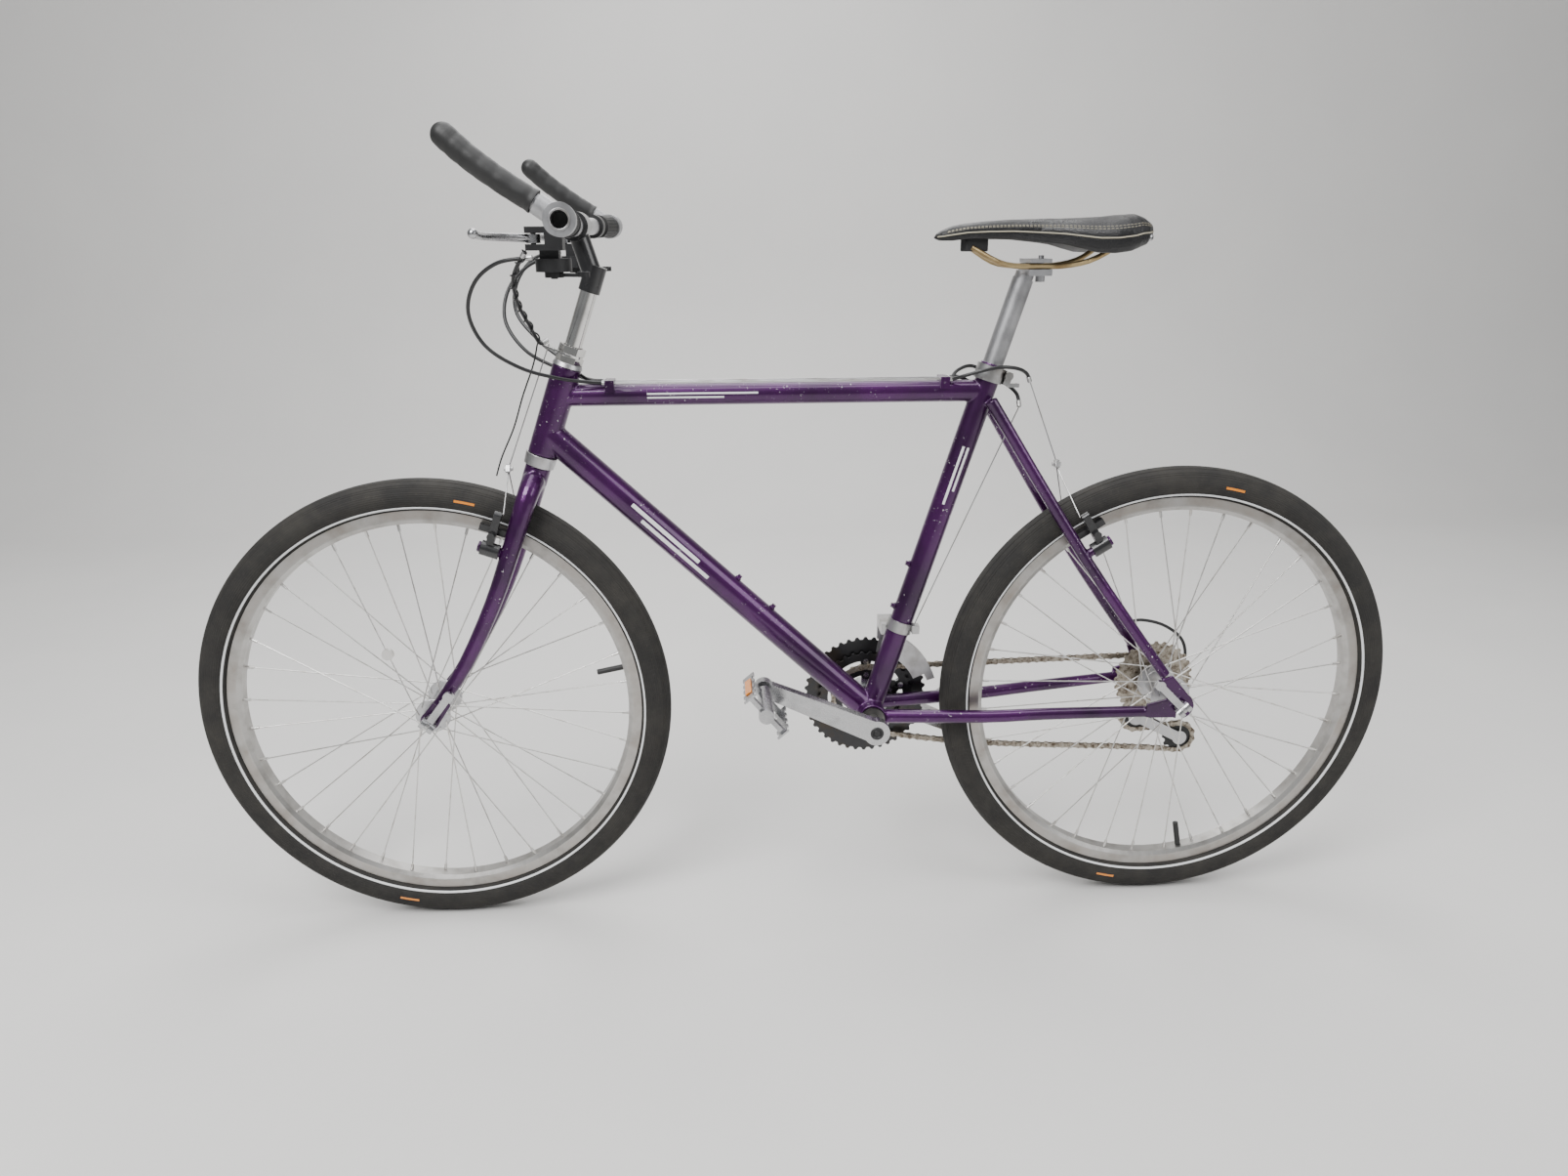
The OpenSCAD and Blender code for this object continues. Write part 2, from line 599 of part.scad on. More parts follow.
// Flange offsets to the left and right and the flange radius of each hub
front_flange = [35, -35, 19];
rear_flange = [34, -20, 23];
rim_phase = 3.8;
valve_front = 168.8;
valve_rear = 258.8;
module about_axle(c) translate(c) rotate([90, 0, 0]) children();
module tyre(c) color("#2b2a28") about_axle(c) rotate_extrude($fn = 96) difference() {
    translate([tyre_cr, 0]) circle(d = tyre_w);
    translate([tyre_cr, 0]) circle(d = tyre_w - 2 * tyre_wall);
    translate([rim_r - 40, -8]) square([44, 16]);
    for (s = [-1, 1]) translate([rim_r - 40, s > 0 ? rim_w / 2 - 2.1 : -rim_w])
        square([40 + loose, rim_w / 2 + 2.1]);
}
module inner_tube(c, angle) color(black) about_axle(c) {
    rotate_extrude($fn = 96) difference() {
        translate([tyre_cr, 0]) circle(d = tyre_w - 2 * tyre_wall - 0.8);
        translate([tyre_cr, 0]) circle(d = tyre_w - 2 * tyre_wall - 3.2);
    }
    rotate([0, 0, angle]) rod([rim_in - 38, 0, 0], [tyre_cr - tyre_w / 2 + tyre_wall + 1.2, 0, 0], 8);
}
module rim(c, angle) color(silver) about_axle(c) difference() {
    rotate_extrude($fn = 96) difference() {
        translate([rim_in, -rim_w / 2]) square([rim_depth, rim_w]);
        translate([rim_in + 3, -rim_w / 2 + 1.8]) square([rim_depth, rim_w - 3.6]);
        for (s = [0, 1]) mirror([0, s])
            polygon([[rim_in - 1, rim_w / 2 - 4], [rim_in + 7, rim_w / 2 + 1], [rim_in - 1, rim_w / 2 + 1]]);
    }
    rotate([0, 0, angle]) rod([rim_in - 10, 0, 0], [rim_r, 0, 0], 8.4);
}
// The two ends of the spoke number i of the flange f, k = 0 to the left and 1 to the right
function spoke_angle(i, k) = rim_phase + 20 * i + 10 * k;
function spoke_ends(i, k, f) =
    let (lead = i % 2 == 0 ? 1 : -1, a = spoke_angle(i, k), b = a + lead * cross_angle,
        y = f[k] + lead * 2.4, s = k == 0 ? 1 : -1)
    [[f[2] * cos(a), -y, f[2] * sin(a)], [(rim_in + 2.6) * cos(b), -s * hole_y, (rim_in + 2.6) * sin(b)]];
module spokes(c, f) color(silver) translate(c)
    for (k = [0, 1], i = [0 : spoke_count / 2 - 1]) {
        e = spoke_ends(i, k, f);
        p = [e[0][0], -e[0][1], e[0][2]];
        q = [e[1][0], -e[1][1], e[1][2]];
        u = unit(q - p);
        rod(p, q - 12 * u, spoke_d);
        rod(q - 13 * u, q, 4);
    }
module hub(c, f, bore, ends, barrel) color(silver) difference() {
    union() {
        ycyl(c, barrel, ends[1], ends[0]);
        for (k = [0, 1]) ycyl(c, f[2] + 5, f[k] - 1.5, f[k] + 1.5);
    }
    ycyl(c, bore / 2 + run, -90, 90);
}
module front_tyre() tyre(front);
module front_inner_tube() inner_tube(front, valve_front);
module front_rim() rim(front, valve_front);
magnet_spoke = 0;
module front_spokes() {
    spokes(front, front_flange);
    e = spoke_ends(magnet_spoke, 0, front_flange);
    m = front + [e[0][0], -e[0][1], e[0][2]] * 0.64 + [e[1][0], -e[1][1], e[1][2]] * 0.36;
    color("white") ycyl(m, 8, m[1] - 2, m[1] + 3);
}
module front_hub() hub(front, front_flange, front_axle_d, [40, -40], 13);
module rear_tyre() tyre(rear);
module rear_inner_tube() inner_tube(rear, valve_rear);
module rear_rim() rim(rear, valve_rear);
module rear_spokes() spokes(rear, rear_flange);
freehub_r = 8.5;
module rear_hub() color(silver) difference() {
    union() {
        ycyl(rear, 17, -24, 40);
        ycyl(rear, freehub_r, -65.5, -20);
        for (k = [0, 1]) ycyl(rear, rear_flange[2] + 5, rear_flange[k] - 1.5, rear_flange[k] + 1.5);
    }
    ycyl(rear, rear_axle_d / 2 + run, -90, 90);
}
qr_pin_r = 2;
qr_eye_r = 5.5;
qr_slot = 5.6;
qr_len = 52;
front_qr = [front[0], front_old / 2 + 19, front[2]];
rear_qr = [rear[0], rear_old / 2 + 16, rear[2]];
front_qr_angle = 128;
rear_qr_angle = 45;
// A piece in a quick-release lever's frame: X along the lever and Z along its cam pin
module at_cam(p, a) translate(p) rotate([0, -a, 0]) children();
// A fixed axle with its cones, skewer nut, lever seat and the skewer's eye at the cam p
module axle(c, d, old, ends, p, a) {
    ycyl(c, d / 2, -old / 2 - 7, old / 2 + 7);
    ycyl(c, 8, ends[0] + loose, old / 2);
    ycyl(c, 8, -old / 2, ends[1] - loose);
    ycyl(c, 9, -old / 2 - 15, -old / 2 - 6.2);
    ycyl(c, 9, old / 2 + 6.2, p[1] - 8 - loose);
    difference() {
        union() {
            ycyl(c, 2.4, old / 2 + 6, p[1] - 3.5);
            at_cam(p, a) cylinder(h = qr_slot - 2 * loose, r = qr_eye_r, center = true);
        }
        at_cam(p, a) cylinder(h = 20, r = qr_pin_r + run, center = true);
    }
}
module front_axle() color("#8d8f92") axle(front, front_axle_d, front_old, [40, -40], front_qr, front_qr_angle);
module rear_axle() color("#8d8f92") axle(rear, rear_axle_d, rear_old, [40, -65.5], rear_qr, rear_qr_angle);
// A quick-release lever on its cam pin
module qr_lever(p, a) color(silver) at_cam(p, a) {
    difference() {
        union() {
            cylinder(h = 20, r = 8, center = true);
            translate([0, -3.5, -5]) cube([qr_len, 7, 10]);
            rod([qr_len, -3.5, 0], [qr_len, 3.5, 0], 14);
        }
        translate([-10, -10, -qr_slot / 2]) cube([10 + qr_eye_r + loose, 20, qr_slot]);
    }
    cylinder(h = 18, r = qr_pin_r, center = true);
}
module front_qr_lever() qr_lever(front_qr, front_qr_angle);
module rear_qr_lever() qr_lever(rear_qr, rear_qr_angle);
cogs = [13, 15, 17, 19, 21, 24, 28];
cog_y = -61.5;
module cassette() color("#7d6a58") difference() {
    union() {
        for (i = [0 : len(cogs) - 1]) slab(cog_y + i * cog_gap - 0.9, cog_y + i * cog_gap + 0.9)
            translate([rear[0], rear[2]]) teeth(cogs[i]);
        ycyl(rear, 17, cog_y - 2, cog_y + (len(cogs) - 1) * cog_gap + 2);
    }
    ycyl(rear, freehub_r + run, -90, 0);
}

// ---- Crankset ----
arm_y = 68;
arm_t = 15;
spider_y = -chainline - 3.1;
ring_ys = [-chainline - ring_gap, -chainline, -chainline + ring_gap];
function crank_tip(s) = bb + s * crank_len * [cos(crank_angle), 0, sin(crank_angle)];
module bottom_bracket_spindle() color("#8d8f92") ycyl(bb, spindle_d / 2, -arm_y - arm_t + 2, arm_y + arm_t - 2);
module crank_shape(s) translate([bb[0], bb[2]]) rotate(crank_angle + (s > 0 ? 0 : 180)) {
    circle(r = 18);
    polygon([[0, 15.5], [crank_len, 10.5], [crank_len, -10.5], [0, -15.5]]);
    translate([crank_len, 0]) circle(r = 13);
}
bolt_r = 55;
small_bolt_r = 37;
module spider_shape(reach) translate([bb[0], bb[2]]) for (i = [0 : 4]) rotate(72 * i + 18) {
    translate([0, -7]) square([reach, 14]);
    translate([reach, 0]) circle(r = 7);
}
module ring_holes(r) translate([bb[0], bb[2]]) for (i = [0 : 4]) rotate(72 * i + 18)
    translate([r, 0]) circle(r = 4 + run);
pedal_off = 8;
pedal_w = 82;
pedal_stub = pedal_off + pedal_w - 5;
module crank_arms() color(silver) {
    for (s = [-1, 1]) difference() {
        union() {
            slab(s > 0 ? arm_y : -arm_y - arm_t, s > 0 ? arm_y + arm_t : -arm_y) crank_shape(s);
            ycyl(crank_tip(s), 4, s > 0 ? arm_y + 2 : -arm_y - arm_t - pedal_stub,
                s > 0 ? arm_y + arm_t + pedal_stub : -arm_y - 2);
            if (s < 0) {
                ycyl(bb, 20, -arm_y - 1, -38.5);
                slab(spider_y - 2, spider_y + 2) spider_shape(bolt_r);
                slab(spider_y - 2, ring_ys[2] - ring_t / 2 - glue) spider_shape(small_bolt_r);
            }
        }
        ycyl(bb, spindle_d / 2 + 2 * glue, -arm_y - arm_t + 1, arm_y + arm_t - 1);
        slab(-90, 0) ring_holes(bolt_r);
        slab(-52, -30) ring_holes(small_bolt_r);
    }
    for (i = [0 : 4]) {
        a = 72 * i + 18;
        p = bb + bolt_r * [cos(a), 0, sin(a)];
        q = bb + small_bolt_r * [cos(a), 0, sin(a)];
        ycyl(p, 4, ring_ys[0] - ring_t / 2 - 1, ring_ys[1] + ring_t / 2 + 1);
        ycyl(q, 4, -51.8, ring_ys[2] + ring_t / 2 + 1);
    }
}
module chainring(i, teeth_n, hole_r, inner) slab(ring_ys[i] - ring_t / 2, ring_ys[i] + ring_t / 2)
    difference() {
        translate([bb[0], bb[2]]) teeth(teeth_n);
        difference() {
            translate([bb[0], bb[2]]) circle(r = inner);
            translate([bb[0], bb[2]]) for (k = [0 : 4]) rotate(72 * k + 18) translate([hole_r, 0]) circle(r = 8);
        }
        ring_holes(hole_r);
    }
module chainrings() color("#232325") {
    chainring(0, ring_big, bolt_r, 62);
    chainring(1, ring_mid, bolt_r, 56);
    chainring(2, ring_small, small_bolt_r, 36);
}

// ---- Chain ----
pulley_teeth = 11;
guide = [rear[0] + 9, cog_y, rear[2] - 73];
tension = [rear[0] - 61, cog_y, rear[2] - 109.5];
// Centre, signed radius and Y of each wheel that the chain passes
chain_wheels = [
    [[bb[0], bb[2]], pitch_r(ring_small), ring_ys[2]],
    [[rear[0], rear[2]], pitch_r(cogs[0]), cog_y],
    [[guide[0], guide[2]], -pitch_r(pulley_teeth), cog_y],
    [[tension[0], tension[2]], pitch_r(pulley_teeth), cog_y]];
function wheel_at(i) = chain_wheels[i % 4];
// Direction of the straight run from the wheel i to the next one
function run_angle(i) =
    let (a = wheel_at(i), b = wheel_at(i + 1), v = b[0] - a[0])
    atan2(v[1], v[0]) + asin((a[1] - b[1]) / norm(v));
// The end of the run i that lies on the wheel w
function run_point(i, w) =
    let (c = wheel_at(w), a = run_angle(i)) c[0] + c[1] * [sin(a), -cos(a)];
chain_h = 8;
plate_t = 1.9;
plate_y = 2.35;
chain_sag = 11;
// Points round the wheel i, from where the chain meets it to where it leaves
function arc_points(i) =
    let (c = wheel_at(i), a0 = run_angle(i + 3), a1 = run_angle(i), ccw = c[1] > 0,
        turn = ccw ? (a1 - a0 + 720) % 360 : -((a0 - a1 + 720) % 360),
        n = ceil(abs(turn) / 12))
    [for (k = [0 : n]) let (a = a0 + turn * k / n)
        [c[0][0] + c[1] * sin(a), c[2], c[0][1] - c[1] * cos(a)]];
// A point of the slack lower run, from the tension pulley forward
function slack_point(t) =
    let (p = run_point(3, 3), q = run_point(3, 4), d = p + (q - p) * t)
    [d[0], cog_y + (ring_ys[2] - cog_y) * shift(t), d[1] - chain_sag * 6.75 * t * t * (1 - t)];
slack_steps = 8;
straight = 0.07;    // share of a long run that the chain goes before it turns sideways
// Share of the sideways move made at the share t of a long run
function shift(t) = max(0, min(1, (t - straight) / (1 - 2 * straight)));
// A point of the upper run, from the chainring back
function upper_point(t) =
    let (p = run_point(0, 0), q = run_point(0, 1), d = p + (q - p) * t)
    [d[0], ring_ys[2] + (cog_y - ring_ys[2]) * shift(t), d[1]];
chain_path = concat(
    arc_points(0), [for (t = [straight, 1 - straight]) upper_point(t)],
    [for (i = [1 : 3], p = arc_points(i)) p],
    [for (k = [1 : slack_steps - 1]) slack_point(k / slack_steps)]);
// A closed side plate band along the chain's path, at the distance off to its side
module chain_band(off) {
    n = len(chain_path);
    rings = [for (i = [0 : n - 1])
        let (v = chain_path[(i + 1) % n] - chain_path[(i + n - 1) % n], u = unit([-v[2], 0, v[0]]),
            c = chain_path[i] + [0, off, 0])
        for (q = [[-1, -1], [1, -1], [1, 1], [-1, 1]]) c + q[0] * chain_h / 2 * u + [0, q[1] * plate_t / 2, 0]];
    polyhedron(rings, [for (i = [0 : n - 1], k = [0 : 3])
        let (a = 4 * i, b = 4 * ((i + 1) % n), m = (k + 1) % 4) [a + k, a + m, b + m, b + k]]);
}
module chain() color("#6b5a48") for (off = [-plate_y, plate_y]) chain_band(off);

// ---- Pedals ----
pedal_tilt = 50;
module pedal(s) color(silver) translate([crank_tip(s)[0], s * (arm_y + arm_t + pedal_off), crank_tip(s)[2]])
    rotate([0, -pedal_tilt, 0]) scale_side(s) {
        difference() {
            union() {
                rod([0, 0, 0], [0, pedal_w, 0], 20);
                for (x = [-34, 31.5]) difference() {
                    translate([x, 4, -9]) cube([2.5, pedal_w - 4, 18]);
                    for (k = [0 : 3]) for (z = [-12, 6])
                        translate([x - 1, 16 + k * 18, z]) cube([5, 9, 6]);
                }
                translate([-33, 10, -3]) cube([66, 10, 6]);
                translate([-33, pedal_w - 16, -3]) cube([66, 10, 6]);
            }
            rod([0, -2, 0], [0, pedal_w - 3, 0], 8 + 2 * run);
        }
    }
module scale_side(s) if (s > 0) children(); else mirror([0, 1, 0]) children();
module pedal_left() pedal(1);
module pedal_right() pedal(-1);

// ---- Derailleurs ----
slide_dir = unit([0, 2, -1]);
slide_len = 33.5;
knuckle_y = [-106, -rear_old / 2 - dropout_t - glue];
rod_z = -14;
rd_rods = [[-22, -97, rod_z], [-14, -97, rod_z]];
module rear_derailleur_knuckle() color("#8d8f92") difference() {
    union() {
        ycyl(hanger, 11, knuckle_y[0] + 8, knuckle_y[1]);
        ycyl(hanger, 3.9, knuckle_y[1] - 1, knuckle_y[1] + dropout_t);
        translate([hanger[0] - 28, -104, hanger[2] - 26]) cube([24, 13, 26]);
    }
    for (p = rd_rods) rd_rod(p, 5 + 2 * run, 40);
}
module rd_rod(p, d, reach) rod(hanger + p - reach * slide_dir, hanger + p + reach * slide_dir, d);
module rear_derailleur_body() color("#a6a8ab") {
    difference() {
        union() {
            ycyl(guide, 12, -90, -70.5);
            slab(-90, -74) polygon([
                [guide[0] + 4, guide[2] - 12], [guide[0] + 8, guide[2] + 10],
                [hanger[0] - 6, hanger[2] - 18], [hanger[0] - 29, hanger[2] - 15],
                [hanger[0] - 30, hanger[2] - 46]]);
        }
        ycyl(guide, 5 + run, -84, -60);
    }
    for (p = rd_rods) rod(hanger + p + 16 * slide_dir, hanger + p - 22 * slide_dir, 5);
}
cage_dir = unit(tension - guide);
module cage_plate(y0, y1, w) slab(y0, y1) {
    translate([guide[0], guide[2]]) circle(r = w);
    translate([tension[0], tension[2]]) circle(r = w - 2);
    translate([guide[0], guide[2]]) rotate(atan2(cage_dir[2], cage_dir[0]))
        translate([0, -w * 0.6]) square([norm(tension - guide), w * 1.2]);
}
module rear_derailleur_cage() color("#a6a8ab") {
    cage_plate(cog_y - 7.5, cog_y - 6, 13);
    cage_plate(cog_y + 6, cog_y + 7.5, 13);
    ycyl(guide, 3, cog_y - 7, cog_y + 7);
    ycyl(tension, 3, cog_y - 7, cog_y + 7);
    ycyl(guide, 5, -83, cog_y - 7);
}
module pulley(c) color(black) difference() {
    union() {
        slab(c[1] - 1, c[1] + 1) translate([c[0], c[2]]) teeth(pulley_teeth);
        ycyl(c, 8, c[1] - 4, c[1] + 4);
    }
    ycyl(c, 3 + run, c[1] - 20, c[1] + 20);
}
module guide_pulley() pulley(guide);
module tension_pulley() pulley(tension);
fd_s = 135;
fd_rods = [[8, 0, -6], [18, 0, -6]];
fd_y = -40;
module front_derailleur_body() color("#8d8f92") difference() {
    union() {
        on_post(fd_s - 8) cylinder(h = 16, d = seat_tube_d + 5);
        translate(on_seat(fd_s) + [0, fd_y, -14]) cube([26, 40, 16]);
        translate(on_seat(fd_s) + [-24, 10, -6]) cube([10, 14, 12]);
    }
    on_post(fd_s - 40) cylinder(h = 80, d = seat_tube_d + 2 * glue);
    for (p = fd_rods) rod(on_seat(fd_s) + p + [0, fd_y - 2, 0], on_seat(fd_s) + p + [0, fd_y + 22, 0], 5 + 2 * run);
}
// Part of a ring about the crank axis, from radius r0 to r1 and from angle a to b
module sector(r0, r1, a, b) translate([bb[0], bb[2]]) polygon(concat(
    [for (k = [0 : 12]) r1 * [cos(a + (b - a) * k / 12), sin(a + (b - a) * k / 12)]],
    [for (k = [12 : -1 : 0]) r0 * [cos(a + (b - a) * k / 12), sin(a + (b - a) * k / 12)]]));
cage_in = -38;
cage_out = ring_ys[2] - 9;
cage_r = pitch_r(ring_big) + 4.5;
cage_top = cage_r + 12;
cage_t = 1.6;
module front_derailleur_cage() color("#9a9c9f") {
    slab(cage_in - cage_t, cage_in) {
        sector(cage_r - 18, cage_top, 100, 156);
        sector(cage_r, cage_top, 150, 163);
    }
    slab(cage_out, cage_out + cage_t) sector(cage_r, cage_top, 100, 163);
    slab(cage_out + cage_t / 2, cage_in - cage_t / 2) {
        sector(cage_top - 2, cage_top - 0.2, 103, 146);
        sector(cage_r + 0.2, cage_top - 0.2, 160, 162.5);
    }
    translate(on_seat(fd_s) + [0, fd_y - 4.5 - loose, -35]) cube([26, 4.5, 37]);
    for (p = fd_rods) rod(on_seat(fd_s) + p + [0, fd_y - 2, 0], on_seat(fd_s) + p + [0, fd_y + 18, 0], 5);
}

// ---- Saddle ----
rail_gap = 0.5;
rail_pts = [[84, 8, 23], [52, 20, 5], [26, 22, 0], [0, 22, 0], [-30, 22, 0], [-62, 27, 6], [-88, 34, 20],
    [-98, 36, 31]];
rail_mid = post_top + [-14, 0, 16];
rail_d = 7;
module seat_post() color(silver) {
    difference() {
        on_post(seat_tube_len - 130) cylinder(h = saddle_reach - seat_tube_len + 130, d = post_d);
        on_post(seat_tube_len - 140) cylinder(h = saddle_reach - seat_tube_len + 130, d = post_d - 5);
    }
    on_post(saddle_reach - 4) cylinder(h = 12, d = post_d - 3);
    translate(rail_mid + [-16, -27, -12]) cube([30, 54, 12 - rail_d / 2 - rail_gap]);
    translate(rail_mid + [-15, -27, rail_d / 2 + rail_gap]) cube([28, 54, 5]);
    rod(rail_mid + [-8, 0, -15], rail_mid + [-8, 0, 13], 7);
    rod(rail_mid + [-8, 0, -20], rail_mid + [-8, 0, -11], 12);
}
module saddle_rails() color("#8a6a3c") for (s = [-1, 1])
    bent([for (p = rail_pts) rail_mid + side(p, s)], rail_d, 3, 12);
saddle_z = rail_mid[2] + 27;
nose_x = rail_mid[0] + 132;
tail_x = nose_x - saddle_len;
// A flattened ball of the saddle's outline
module puff(x, y, z, a, b, c) translate([x, y, z]) scale([a, b, c]) sphere(r = 1, $fn = 32);
module saddle() color(black) difference() {
    union() {
        hull() {
            puff(nose_x - 16, 0, saddle_z + 8, 16, 13, 11);
            puff(nose_x - 40, 0, saddle_z + 15, 20, 17, 12);
            puff(nose_x - 130, 0, saddle_z + 15, 20, 28, 16);
        }
        hull() {
            puff(nose_x - 130, 0, saddle_z + 15, 20, 28, 16);
            for (s = [-1, 1]) puff(tail_x + 42, s * (saddle_w / 2 - 27), saddle_z + 10, 38, 27, 18);
            puff(tail_x + 26, 0, saddle_z + 18, 24, 40, 19);
        }
    }
    for (s = [-1, 1]) saddle_slot(s);
}
module saddle_slot(s) bent([for (p = rail_pts) rail_mid + side(p, s)], rail_d + 2 * loose, 3, 12);

// ---- Cables ----
housing_d = 5;
wire_d = 1.6;
loop_left = [[330, 104, 934], [372, 96, 928], [404, 80, 905], [418, 62, 868], [404, 46, 828],
    [366, 34, 800], [322, 28, 786], [286, 16, 779], [268, 11, 777], [259, 11, 777]];
loop_right = [[330, -104, 934], [366, -94, 922], [392, -74, 892], [396, -54, 852], [370, -38, 815],
    [330, -31, 793], [288, -17, 779], [268, -11, 777], [259, -11, 777]];
loop_brake = [[330, -140, 938], [364, -126, 930], [386, -102, 898], [384, -76, 860], [354, -54, 826],
    [324, -38, 804], [290, -9, 781], [270, 0, 777], [259, 0, 777]];
module bar_cables() color(black) {
    cord(loop_left, housing_d);
    cord(loop_right, housing_d);
    cord(loop_brake, housing_d);
}
front_hang = on_axis(race_hi + 3) + (hanger_len - 5) * head_w;
front_yoke = [397, 0, 664];
front_drop = [[332, 140, 940], [352, 110, 912], [356, 70, 880], [350, 30, 850], [343, 8, 828]];
// Point of a brake arm's cable anchor in its own frame
function anchor(s) = [arm_x - 6.3, s * (blade_span / 2 - 2), 50];
function head_point(s, p) = on_axis(s) + p[0] * head_w + [0, p[1], 0] + p[2] * head_u;
module front_brake_cable() color(black) {
    cord(concat(front_drop, [front_hang + 7 * head_u, front_hang + 2 * loose * head_u]), housing_d);
    rod(front_hang, front_yoke, wire_d);
    rod(front_yoke - [0, 4, 0], front_yoke + [0, 4, 0], 12);
    for (s = [-1, 1]) rod(front_yoke + [0, s * 2, -2], head_point(boss_s, anchor(s)), wire_d);
}
function stay_point(p) = stay_boss_mid + p[0] * stay_n + [0, -p[1], 0] + p[2] * stay_v;
stay_boss_mid = [stay_boss[0], 0, stay_boss[2]];
stay_v = [sin(32.5), 0, cos(32.5)];
stay_n = [-cos(32.5), 0, sin(32.5)];
rear_yoke = [-342, 0, 659];
tail_brake = [[-184, 11, 777], [-192, 11, 777], [-206, 20, 782], [-228, 27, 789], [-252, 27, 793], [-276, 17, 790],
    [-292, 5, 782], [-298, 0, 771]];
tail_gear = [[-184, -11, 777], [-192, -11, 777], [-206, -20, 776], [-226, -29, 766], [-240, -34, 746], [-250, -36, 724]];
tail_front = [[-184, 0, 777], [-192, 0, 777], [-202, -8, 786], [-222, -23, 790], [-244, -29, 782], [-268, -25, 768],
    [-284, -12, 754], [-286, -1, 738]];
gear_loop = [[-492, -82, 398], [-520, -92, 398], [-558, -98, 386], [-588, -100, 362], [-596, -100, 330],
    [-582, -99, 302], [-558, -98, 288]];
module frame_cables() color(black) {
    for (y = cable_ys) rod([stop_front - 0.5, y, stop_z], [stop_rear + 0.5, y, stop_z], wire_d);
    cord(tail_brake, housing_d);
    cord(tail_gear, housing_d);
    cord(tail_front, housing_d);
    cord(gear_loop, housing_d, 3);
    rod(tail_gear[5], [-492, -82, 398], wire_d);
    rod(tail_front[7], on_seat(fd_s) + [-19, 14, 6.5], wire_d);
    rod([-298, 0, 772], rear_yoke, wire_d);
    rod(rear_yoke - [0, 4, 0], rear_yoke + [0, 4, 0], 12);
    for (s = [-1, 1]) rod(rear_yoke + [0, s * 2, -2], stay_point(anchor(-s)), wire_d);
}

head_tube();
top_tube();
down_tube();
seat_tube();
bottom_bracket_shell();
chainstays();
seatstays();
headset_cups();
bottom_bracket_cups();
frame_fittings();
seat_binder();
front_derailleur_body();
rear_axle();
frame_cables();
rear_derailleur_knuckle();
seat_post();
saddle_rails();
saddle();
fork();
headset_locknuts();
stem();
handlebar();
grips();
bar_ends();
control_brackets();
front_axle();
bar_cables();
front_brake_cable();
brake_lever_left();
brake_lever_right();
shift_lever_left();
shift_lever_right();
front_brake_arm_left();
front_brake_arm_right();
rear_brake_arm_left();
rear_brake_arm_right();
front_qr_lever();
rear_qr_lever();
front_tyre();
front_inner_tube();
front_rim();
front_spokes();
front_hub();
rear_tyre();
rear_inner_tube();
rear_rim();
rear_spokes();
rear_hub();
cassette();
bottom_bracket_spindle();
crank_arms();
chainrings();
chain();
pedal_left();
pedal_right();
rear_derailleur_body();
rear_derailleur_cage();
guide_pulley();
tension_pulley();
front_derailleur_cage();
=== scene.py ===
import json
import math

import bmesh
import bpy
from mathutils import Matrix, Vector, noise

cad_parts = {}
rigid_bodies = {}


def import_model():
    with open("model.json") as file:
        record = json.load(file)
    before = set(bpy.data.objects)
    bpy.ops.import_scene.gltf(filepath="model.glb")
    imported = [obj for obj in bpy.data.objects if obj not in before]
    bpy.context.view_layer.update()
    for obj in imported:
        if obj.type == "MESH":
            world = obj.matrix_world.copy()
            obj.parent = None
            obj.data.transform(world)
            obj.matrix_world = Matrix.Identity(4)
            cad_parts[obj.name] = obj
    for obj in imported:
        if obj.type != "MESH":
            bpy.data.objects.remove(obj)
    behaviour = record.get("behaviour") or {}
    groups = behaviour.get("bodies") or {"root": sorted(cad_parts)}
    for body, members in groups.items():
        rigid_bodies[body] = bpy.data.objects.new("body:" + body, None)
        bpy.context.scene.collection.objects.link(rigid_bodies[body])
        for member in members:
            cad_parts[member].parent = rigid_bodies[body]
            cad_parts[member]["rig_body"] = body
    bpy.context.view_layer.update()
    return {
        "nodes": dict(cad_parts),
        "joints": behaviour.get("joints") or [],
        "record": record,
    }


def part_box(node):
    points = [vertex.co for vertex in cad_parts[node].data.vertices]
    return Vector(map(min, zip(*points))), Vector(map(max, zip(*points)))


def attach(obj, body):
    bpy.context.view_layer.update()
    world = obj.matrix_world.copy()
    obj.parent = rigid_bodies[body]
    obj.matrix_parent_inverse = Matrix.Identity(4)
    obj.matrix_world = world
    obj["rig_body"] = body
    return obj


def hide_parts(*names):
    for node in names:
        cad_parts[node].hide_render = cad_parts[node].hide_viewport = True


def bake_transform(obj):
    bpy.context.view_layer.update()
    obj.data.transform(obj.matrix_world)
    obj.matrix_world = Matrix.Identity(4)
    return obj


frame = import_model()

MM = 0.001
WELD = 0.00001  # vertices nearer than this are one
SHARP = 30  # degrees, on the carried-over CAD nodes


# ---------------------------------------------------------------- places from the frame
def centre(node):
    low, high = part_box(node)
    return (low + high) / 2


def extent(node):
    """Sizes of a node's box along X, Y and Z."""
    return [high - low for low, high in zip(*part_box(node))]


FRONT = centre("front_hub")
FRONT.y = 0
REAR = centre("rear_rim")
TYRE_R = extent("front_tyre")[2] / 2
TYRE_W = extent("front_tyre")[1]
RIM_R = extent("front_rim")[2] / 2
RIM_W = extent("front_rim")[1]
HEAD_U = Vector(next(j["axis"] for j in frame["joints"] if j["name"] == "steer")).normalized()
HEAD_LOW = Vector((482.3, 0, 313.65)) * MM
SIDE = {"left": 1, "right": -1}


